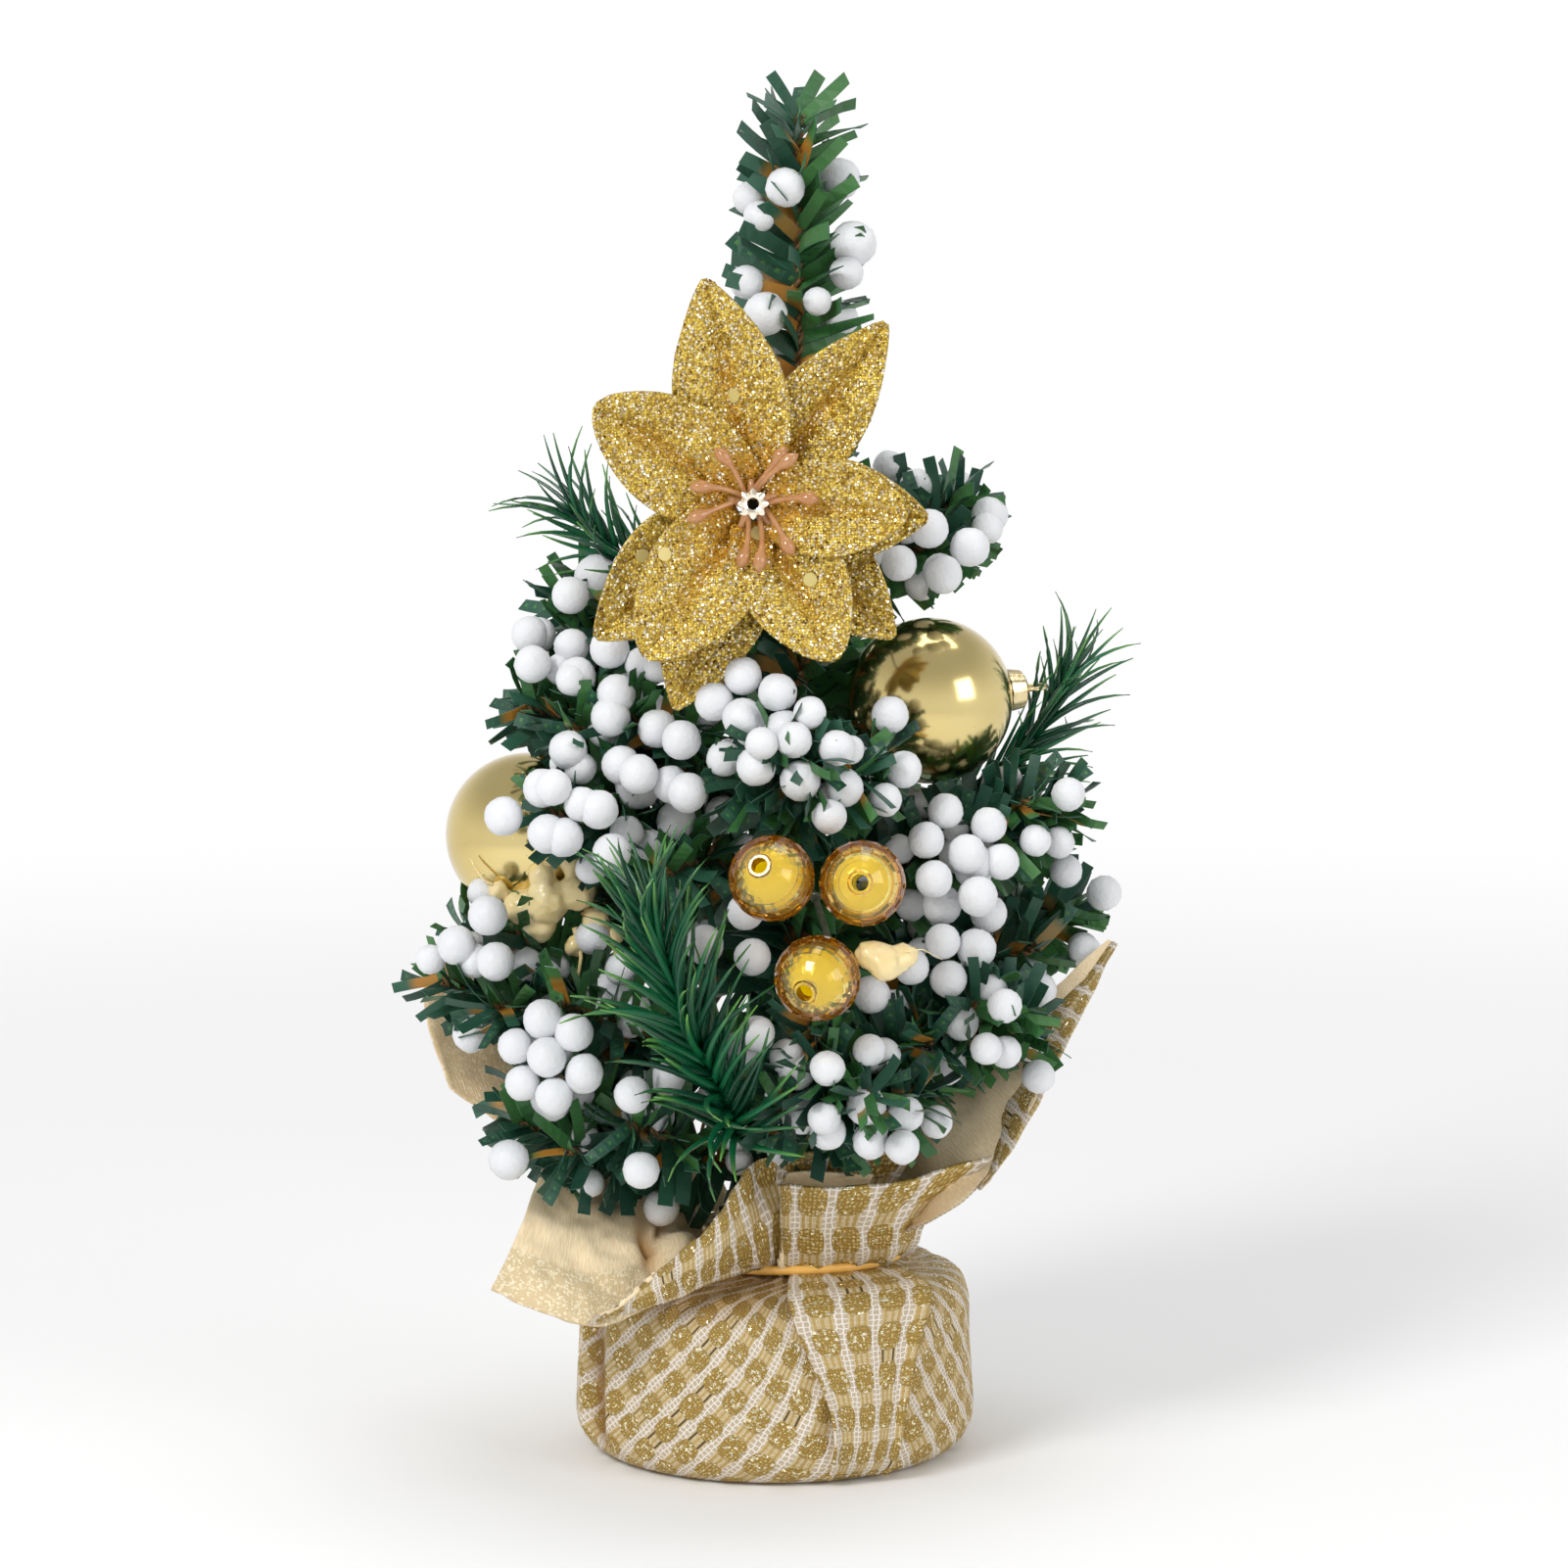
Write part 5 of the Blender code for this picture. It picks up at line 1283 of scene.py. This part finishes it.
# The eyelet: a small plated tube whose end is split into points and pressed flat.  Its bore is closed a little way in
# and painted near-black: painted shade inside the hole.
PALE_BRASS, tree, shader = new_material("pale_brass", {"Metallic": 1.0, "Roughness": 0.24})
wear = grain(tree, 700.0, object_place(tree))
inside = add(tree, "ShaderNodeAttribute", attribute_name="inside").outputs["Fac"]
colour = shade(tree, wear, (0.92, 0.80, 0.58, 1), (1.0, 0.95, 0.86, 1))
tree.links.new(shade(tree, inside, colour, (0.01, 0.008, 0.005, 1)), shader.inputs["Base Color"])
bumped(tree, shader, wear, 0.00008)
tube = lathe("eyelet", [(0.85, 4.6), (1.25, 4.8), (1.9, 4.4), (1.75, 4.2), (1.25, 4.3), (1.2, -3.6), (0.0, -3.6), (0.0, 0.4), (0.85, 0.4), (0.85, 3.9)], 40)
# Painted shade: the bore's walls and floor are marked to be painted near-black.
dark = [1.0 if v.co.xy.length < 0.9 * MM and v.co.z < 4.2 * MM else 0.0 for v in tube.vertices]
tube.attributes.new("inside", "FLOAT", "POINT").data.foreach_set("value", dark)
for vertex in tube.vertices:
    radius = vertex.co.xy.length
    if radius > 1.3 * MM:
        petal = 1 + 0.16 * math.cos(8 * math.atan2(vertex.co.y, vertex.co.x))
        vertex.co.x *= petal
        vertex.co.y *= petal
stood(tube, flower_middle + flower_up * 2.2 * MM + flower_face * 0.6 * MM, flower_face)
tube.materials.append(PALE_BRASS)
show("star_eyelet", tube, "tree", ["flower_eyelet"])

# A few round flakes of pale foil that stuck to the petals.
FOIL, tree, shader = new_material("pale_foil", {"Roughness": 0.45, "Metallic": 0.3})
tree.links.new(shade(tree, grain(tree, 300.0, object_place(tree)), (0.55, 0.44, 0.14, 1), (0.66, 0.56, 0.24, 1)), shader.inputs["Base Color"])
bumped(tree, shader, grain(tree, 1500.0, object_place(tree)), 0.00003)
flakes = []
for x, y in ((-2.7, 15.3), (-12.4, -6.9), (-15.5, -7.0), (8.0, -10.4), (0.6, -3.9)):
    hits = [layer.ray_cast(flower_place(x, y, 20), -flower_face) for layer in petal_layers]
    spot, normal, _, _ = min((hit for hit in hits if hit[0]), key=lambda hit: hit[3])
    normal = normal if normal.dot(flower_face) > 0 else -normal
    disc = lathe("disc", [(0.0, 0.10), (1.0, 0.10), (1.0, 0.02), (0.0, 0.02)], 20)
    flakes.append(stood(disc, spot + normal * 0.12 * MM, normal))
flakes = joined("flower_confetti", flakes)
flakes.materials.clear()
flakes.materials.append(FOIL)
show("flower_confetti", flakes, "tree")

STEEL, tree, shader = new_material("green_wire", {"Metallic": 0.7, "Roughness": 0.4})
tree.links.new(shade(tree, grain(tree, 900.0, object_place(tree)), (0.10, 0.12, 0.08, 1), (0.26, 0.27, 0.20, 1)), shader.inputs["Base Color"])
bumped(tree, shader, grain(tree, 2400.0, object_place(tree)), 0.00005)
for node in ("flower_wire", "bead_wires"):
    frame["nodes"][node].data.materials.clear()
    frame["nodes"][node].data.materials.append(STEEL)
    frame["nodes"][node].data.shade_smooth()

# --- plated balls -------------------------------------------------------------------------------------------
# Blown plastic, plated gold inside a clear lacquer, with a pressed cap and a loop of wire at the neck.

PLATE, tree, shader = new_material("gold_plating", {"Metallic": 1.0, "Coat Weight": 0.4, "Coat Roughness": 0.04})
haze = grain(tree, 60.0, object_place(tree))
pit = step(tree, cells(tree, 1100.0, object_place(tree))["Distance"], 0.10, 0.04)
colour = shade(tree, haze, (0.66, 0.50, 0.17, 1), (0.84, 0.70, 0.34, 1))
tree.links.new(shade(tree, sums(tree, "MULTIPLY", pit, 0.5), colour, (0.35, 0.25, 0.08, 1)), shader.inputs["Base Color"])
tree.links.new(sums(tree, "MULTIPLY_ADD", haze, 0.12, 0.09), shader.inputs["Roughness"])
bumped(tree, shader, sums(tree, "SUBTRACT", haze, pit), 0.00006, 0.5)
CAP, tree, shader = new_material("pressed_brass", {"Metallic": 1.0, "Roughness": 0.28})
tree.links.new(shade(tree, grain(tree, 800.0, object_place(tree)), (0.72, 0.55, 0.25, 1), (0.92, 0.80, 0.52, 1)), shader.inputs["Base Color"])
bumped(tree, shader, grain(tree, 1800.0, object_place(tree)), 0.00006)

BALL_NECK = 1.9
BALL_SHELL = 0.7


def ball_frame(node, cap_node):
    """Centre, radius and the way to the neck, read off the ball and its cap."""
    low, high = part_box(node)
    cap_low, cap_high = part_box(cap_node)
    corners = np.array([v.co for v in frame["nodes"][node].data.vertices])
    cap_middle = (cap_low + cap_high) / 2
    rough = (low + high) / 2
    away = np.linalg.norm(corners - np.array(rough), axis=1)
    centre = rough
    for _ in range(6):
        way = (cap_middle - centre).normalized()
        outer = [Vector(c) for c in corners if (Vector(c) - centre).normalized().dot(way) < 0.3 and (Vector(c) - centre).length > 11.5 * MM]
        reach = sum((c - centre).length for c in outer) / len(outer)
        centre = centre + sum(((c - centre).normalized() * ((c - centre).length - reach) for c in outer), Vector()) / len(outer) * 1.5
    return centre, reach, (cap_middle - centre).normalized()


for side, body in (("left", "branch_left_front"), ("right", "branch_right_mid")):
    node, cap_node = "ball_" + side, f"ball_{side}_cap"
    centre, reach, way = ball_frame(node, cap_node)
    radius = reach / MM
    lip = math.degrees(math.acos(BALL_NECK / radius))
    bore = BALL_NECK - BALL_SHELL
    mouth = math.degrees(math.acos(bore / (radius - BALL_SHELL)))
    profile = [(bore, radius + 1.6), (BALL_NECK, radius + 1.6)] + arc((0, 0), radius, lip, -90, 40)[:-1] + [(0.0, -radius)]
    profile += [(0.0, -(radius - BALL_SHELL))] + arc((0, 0), radius - BALL_SHELL, -90, mouth, 16)[1:]
    shell = stood(lathe("plated_ball_" + side, profile, 64), centre, way)
    shell.materials.append(PLATE)
    show("plated_ball_" + side, shell, body, [node])

    seat = math.sqrt(radius**2 - 3.1**2) + 0.25
    crown = [(0.0, radius + 2.5), (2.2, radius + 2.5), (2.75, radius + 2.1), (3.05, seat), (2.75, seat), (2.4, radius + 1.9), (0.0, radius + 2.05)]
    cap = lathe("cap", crown, 48)
    for vertex in cap.vertices:
        if vertex.co.z < (seat + 0.3) * MM:
            wave = 1 + 0.05 * math.cos(12 * math.atan2(vertex.co.y, vertex.co.x))
            vertex.co.x *= wave
            vertex.co.y *= wave
    ring = []
    for k in range(25):
        a = math.radians(-62 + 304 * k / 24)
        ring.append((Vector((1.9 * math.cos(a), 0, radius + 2.5 + 1.9 * (0.82 + math.sin(a)))) * MM, 0.34 * MM))
    cap = joined("ball_cap_" + side, [cap, sweep("loop", [ring], 8)])
    stood(cap, centre, way)
    cap.materials.clear()
    cap.materials.append(CAP)
    show("ball_cap_" + side, cap, body, [cap_node])

# --- beads --------------------------------------------------------------------------------------------------
# Bead in bead: a clear amber ball cut in small flat facets, moulded round an opaque yellow core.

AMBER, tree, shader = new_material(
    "amber_acrylic", {"Roughness": 0.02, "IOR": 1.49, "Transmission Weight": 0.92, "Specular IOR Level": 0.6}
)
honey = add(tree, "ShaderNodeLayerWeight", {"Blend": 0.55}).outputs["Facing"]
tree.links.new(shade(tree, step(tree, honey, 0.22, 0.62), (1.0, 0.90, 0.30, 1), (0.88, 0.22, 0.004, 1)), shader.inputs["Base Color"])
# Painted light: the core is given a faint yellow glow of its own, so it stays bright inside the amber.
CORE, tree, shader = new_material("yellow_core", {"Roughness": 0.25, "Coat Weight": 0.2, "Emission Strength": 0.15})
shader.inputs["Emission Color"].default_value = (1.0, 0.80, 0.0, 1)
tree.links.new(shade(tree, grain(tree, 200.0, object_place(tree)), (0.76, 0.62, 0.0, 1), (0.86, 0.74, 0.0, 1)), shader.inputs["Base Color"])
bumped(tree, shader, grain(tree, 900.0, object_place(tree)), 0.00005)

BEAD = 6.0
BORE = 1.15
for k in (1, 2, 3):
    low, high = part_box(f"bead_shell_{k}")
    centre = (low + high) / 2
    corners = np.array([v.co for v in frame["nodes"][f"bead_core_{k}"].data.vertices]) - np.array(centre)
    near = corners[np.argsort(np.linalg.norm(corners, axis=1))]
    _, _, axes = np.linalg.svd(corners - corners.mean(axis=0))
    spread = [(abs(np.linalg.norm(np.cross(corners, axis), axis=1).min() - 1.1 * MM), tuple(axis)) for axis in axes]
    way = Vector(min(spread)[1])
    way = way if way.y < 0 else -way
    collar = [(BORE, 6.05), (1.55, 6.05), (1.75, 5.7)]
    edge = math.degrees(math.acos(1.8 / BEAD))
    cut = arc((0, 0), BEAD, edge, -edge, 11)
    hollow = 4.2
    inner_edge = math.degrees(math.acos(BORE / hollow))
    profile = collar + cut + [(1.75, -5.7), (1.55, -6.05), (BORE, -6.05)] + arc((0, 0), hollow, -inner_edge, inner_edge, 12)
    shell = lathe(f"amber_bead_{k}", profile, 20, smooth_shading=False)
    stood(shell, centre, way)
    shell.materials.append(AMBER)
    show(f"amber_bead_{k}", shell, "tree", [f"bead_shell_{k}"])
    core_edge = math.degrees(math.acos(BORE / 3.95))
    core = lathe(f"yellow_core_{k}", arc((0, 0), 3.95, core_edge, -core_edge, 20), 32)
    stood(core, centre, way)
    core.materials.append(CORE)
    show(f"yellow_core_{k}", core, "tree", [f"bead_core_{k}"])

# --- pine sprigs --------------------------------------------------------------------------------------------
# Picks moulded in soft plastic: glossy round needles that curve up, dark at the foot and lime at the tip.


def needle(name, length, radius, curl, seed):
    """A thin tapering needle along +Z, bent towards its tip."""
    sides, segments = 5, 7
    points, share, faces = [], [], []
    place, angle = Vector((0, 0, 0)), 0.0
    for k in range(segments + 1):
        t = k / segments
        way = Vector((0.12 * math.sin(seed + 3 * t), math.sin(angle), math.cos(angle))).normalized()
        up = way.orthogonal().normalized()
        side = way.cross(up)
        thick = radius * (1 - 0.85 * t**1.6)
        points += [place + (up * math.cos(math.tau * n / sides) + side * math.sin(math.tau * n / sides)) * thick for n in range(sides)]
        share += [t] * sides
        place = place + way * (length / segments)
        angle += curl / segments
    for k in range(segments):
        a, b = sides * k, sides * (k + 1)
        faces += [(a + n, a + (n + 1) % sides, b + (n + 1) % sides, b + n) for n in range(sides)]
    faces.append(tuple(reversed(range(sides))))
    faces.append(tuple(sides * segments + n for n in range(sides)))
    mesh = bpy.data.meshes.new(name)
    mesh.from_pydata(points, [], faces)
    mesh.attributes.new("out", "FLOAT", "POINT").data.foreach_set("value", share)
    mesh.shade_smooth()
    return mesh


PINE, tree, shader = new_material("moulded_pine", {"Roughness": 0.24, "Specular IOR Level": 0.55, "Coat Weight": 0.15})
out = add(tree, "ShaderNodeAttribute", attribute_name="out").outputs["Fac"]
tone = add(tree, "ShaderNodeAttribute", attribute_name="tone").outputs["Fac"]
body_green = shade(tree, tone, (0.002, 0.045, 0.022, 1), (0.005, 0.13, 0.045, 1))
tip_green = shade(tree, tone, (0.012, 0.13, 0.035, 1), (0.13, 0.34, 0.05, 1))
tree.links.new(shade(tree, step(tree, out, 0.55, 1.0), body_green, tip_green), shader.inputs["Base Color"])
bumped(tree, shader, grain(tree, 900.0, object_place(tree)), 0.00004)
NEEDLES = variants("pine_needles", [needle(f"pine_needle_{k}", (14.0 + k) * MM, 0.5 * MM, curl, k) for k, curl in enumerate((-0.5, -0.9, -0.2, -1.2))])
THICK = variants("thick_needles", [needle(f"thick_needle_{k}", (16.5 + k) * MM, 0.62 * MM, curl, k) for k, curl in enumerate((-0.4, -0.8, -0.1, -1.0))])
SPRIG = {"Shapes": NEEDLES, "Finish": PINE, "Turn": 2.4, "Turn Spread": 0.3, "Lean Foot": 0.95, "Lean Tip": 0.45, "Lean Spread": 0.15, "Size": 1.0, "Size Spread": 0.12, "Tip Size": 0.8, "Roll": 0.4}

# sprig: the body it rides on, its stem in millimetres, and how many needles
SPRIGS = {
    "front": ("tree", ((2.2, -3.2, 50), (-3.0, -20, 50.5), (-5.0, -30, 51.5), (-6.5, -37, 57), (-12.5, -42.5, 72), (-17.5, -44.0, 86)), 130, 0.40, {"Shapes": THICK, "Lean Foot": 0.80}),
    "left": ("branch_left_top", ((-6, -1, 121), (-12, -2, 126), (-22, -3, 132), (-29, -4, 138.5)), 64, 0.15, {}),
    "right": ("branch_right_mid", ((24, -1, 95), (33, 1, 99), (39, 3, 106), (43, 3, 114)), 60, 0.1, {"Lean Foot": 0.75, "Lean Tip": 0.3}),
}
for name, (body, stem, count, bare, kind) in SPRIGS.items():
    walk, _ = along_line(stem)
    whole = [Vector(walk(k / 12)) * MM for k in range(13)]
    leafy = [Vector(walk(bare + (1 - bare) * k / 10)) * MM for k in range(11)]
    needles = brushed(leafy, {**SPRIG, **kind, "Count": count, "Seed": 5 + len(name)})
    stalk = sweep("stalk", [[(p, 0.75 * MM * (1 - 0.5 * k / 12)) for k, p in enumerate(whole)]], 8)
    stalk.materials.append(PINE)
    show("pine_" + name, joined("pine_" + name, [needles, stalk]), body, ["pine_sprig_" + name])

# --- glue ---------------------------------------------------------------------------------------------------
# Hot-melt glue, cloudy yellow where it is thick and nearly clear in its drips and threads.

GLUE, tree, shader = new_material(
    "hot_glue",
    {"Roughness": 0.14, "IOR": 1.48, "Transmission Weight": 0.15, "Subsurface Weight": 0.5, "Subsurface Radius": (0.004, 0.003, 0.0012)},
)
milk = grain(tree, 210.0, object_place(tree))
tree.links.new(shade(tree, milk, (0.90, 0.66, 0.26, 1), (1.0, 0.87, 0.56, 1)), shader.inputs["Base Color"])
bumped(tree, shader, milk, 0.0004)


def blob(name, centre, lobes, drips):
    """Lobes of glue run together, with drips and threads drawn out of them."""
    data = bpy.data.metaballs.new(name)
    data.resolution = 0.45
    data.threshold = 0.16
    for offset, radius in lobes:
        element = data.elements.new()
        element.co = offset
        element.radius = radius
    obj = bpy.data.objects.new(name, data)
    bpy.context.scene.collection.objects.link(obj)
    bpy.context.view_layer.update()
    graph = bpy.context.evaluated_depsgraph_get()
    mesh = bpy.data.meshes.new_from_object(obj.evaluated_get(graph), depsgraph=graph)
    bpy.data.objects.remove(obj)
    for vertex in mesh.vertices:
        vertex.co += vertex.normal * 0.5 * noise.fractal(vertex.co * 0.45, 0.9, 2.0, 3)
    mesh.transform(Matrix.Translation(centre) @ Matrix.Scale(MM, 4))
    mesh.shade_smooth()
    paths = []
    for points, radius in drips:
        walk, _ = along_line(points)
        paths.append([(centre + Vector(walk(k / 8)) * MM, radius * (1 - 0.6 * k / 8) * MM) for k in range(9)])
    made = joined(name, [mesh, sweep("drips", paths, 6)])
    made.materials.clear()
    made.materials.append(GLUE)
    return made


for name, body, lobes, drips in (
    (
        "glue_ball_left",
        "branch_left_front",
        (
            ((-4, -1, 0), 4.4), ((0.5, -1, 1.5), 3.6), ((-8, 0, -1.0), 3.2), ((-4.5, -1, 3.8), 2.8), ((3, 0, -3), 2.6),
            ((-5, -0.5, -4), 3.0), ((-11.5, 1, -2.5), 2.4), ((-0.5, -0.5, 5), 1.9), ((2.8, 0, 3.5), 1.7), ((-7.5, 0, 4.6), 1.8),
            ((-11, 0, 1.5), 1.9), ((5.5, 1, -5.5), 2.0), ((0, 0, -6.5), 2.0), ((-14, 2, -4.5), 1.7),
        ),
        (
            (((0, 0, -4), (1, -1, -8), (0.5, -1, -11)), 0.5),
            (((4, 1, -3), (6, 0, -8), (7, -1, -9)), 0.45),
            (((-3, 0, 3), (-4, -1.5, 6.5), (-3, -2, 9.5)), 0.4),
            (((1, 0, 3), (3, -1, 7), (2.5, -1, 9)), 0.35),
            (((-9, 0, 1), (-13, -1, 3), (-15, 0, 6)), 0.35),
        ),
    ),
    (
        "glue_beads",
        "tree",
        (((0, 0, 0), 3.4), ((2.5, 1, 0.5), 2.6), ((-2.0, 0.5, 1), 2.6)),
        ((((1, 0, 1), (5, -1, 2), (8, 2, 0)), 0.12),),
    ),
):
    low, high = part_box(name)
    show("set_" + name, blob("set_" + name, (low + high) / 2, lobes, drips), body, [name])

# --- table and light ----------------------------------------------------------------------------------------
# A wide pale table that fades into the white round it, with soft light from the front left and above.

PALE, tree, shader = new_material("pale_table", {"Roughness": 0.9, "Base Color": (0.92, 0.92, 0.92, 1)})
seen = add(tree, "ShaderNodeLightPath").outputs["Is Camera Ray"]
away = add(tree, "ShaderNodeVectorMath", {0: object_place(tree)}, operation="LENGTH").outputs["Value"]
glow = add(tree, "ShaderNodeEmission", {"Color": (1, 1, 1, 1), "Strength": sums(tree, "MULTIPLY_ADD", seen, 0.10, 0.90)}).outputs[0]
faded = add(tree, "ShaderNodeMixShader", {0: step(tree, away, 0.16, 0.70), 1: shader.outputs[0], 2: glow}).outputs[0]
tree.links.new(faded, tree.nodes["Material Output"].inputs["Surface"])
rim = [(9 * math.cos(math.tau * k / 48), 9 * math.sin(math.tau * k / 48), 0.0) for k in range(48)]
table = bpy.data.meshes.new("table")
table.from_pydata(rim, [], [tuple(range(48))])
table.materials.append(PALE)
table_top = bpy.data.objects.new("table", table)
bpy.context.scene.collection.objects.link(table_top)

bpy.context.scene.view_settings.view_transform = "Standard"
world = bpy.data.worlds.new("studio")
bpy.context.scene.world = world
world.use_nodes = True
tree = world.node_tree
sky = tree.nodes["Background"]
sky.inputs["Color"].default_value = (1.0, 1.0, 1.0, 1)
height = add(tree, "ShaderNodeSeparateXYZ", {0: add(tree, "ShaderNodeTexCoord").outputs["Generated"]}).outputs["Z"]
low = step(tree, sums(tree, "ABSOLUTE", height), 0.8, 0.0)
other = sums(tree, "MULTIPLY_ADD", low, 0.40, 0.50)
seen = add(tree, "ShaderNodeLightPath").outputs["Is Camera Ray"]
tree.links.new(sums(tree, "MAXIMUM", seen, other), sky.inputs["Strength"])

for name, place, size, power in (
    ("key", (-0.50, -0.70, 0.70), 0.30, 5.5),
    ("fill", (0.70, -0.55, 0.40), 0.40, 1.6),
    ("top", (0.1, 0.1, 0.95), 0.5, 2.0),
):
    light = bpy.data.objects.new(name, bpy.data.lights.new(name, "AREA"))
    light.data.size = size
    light.data.energy = power
    light.location = place
    aim(light, (0.0, 0.0, 0.10))
    bpy.context.scene.collection.objects.link(light)
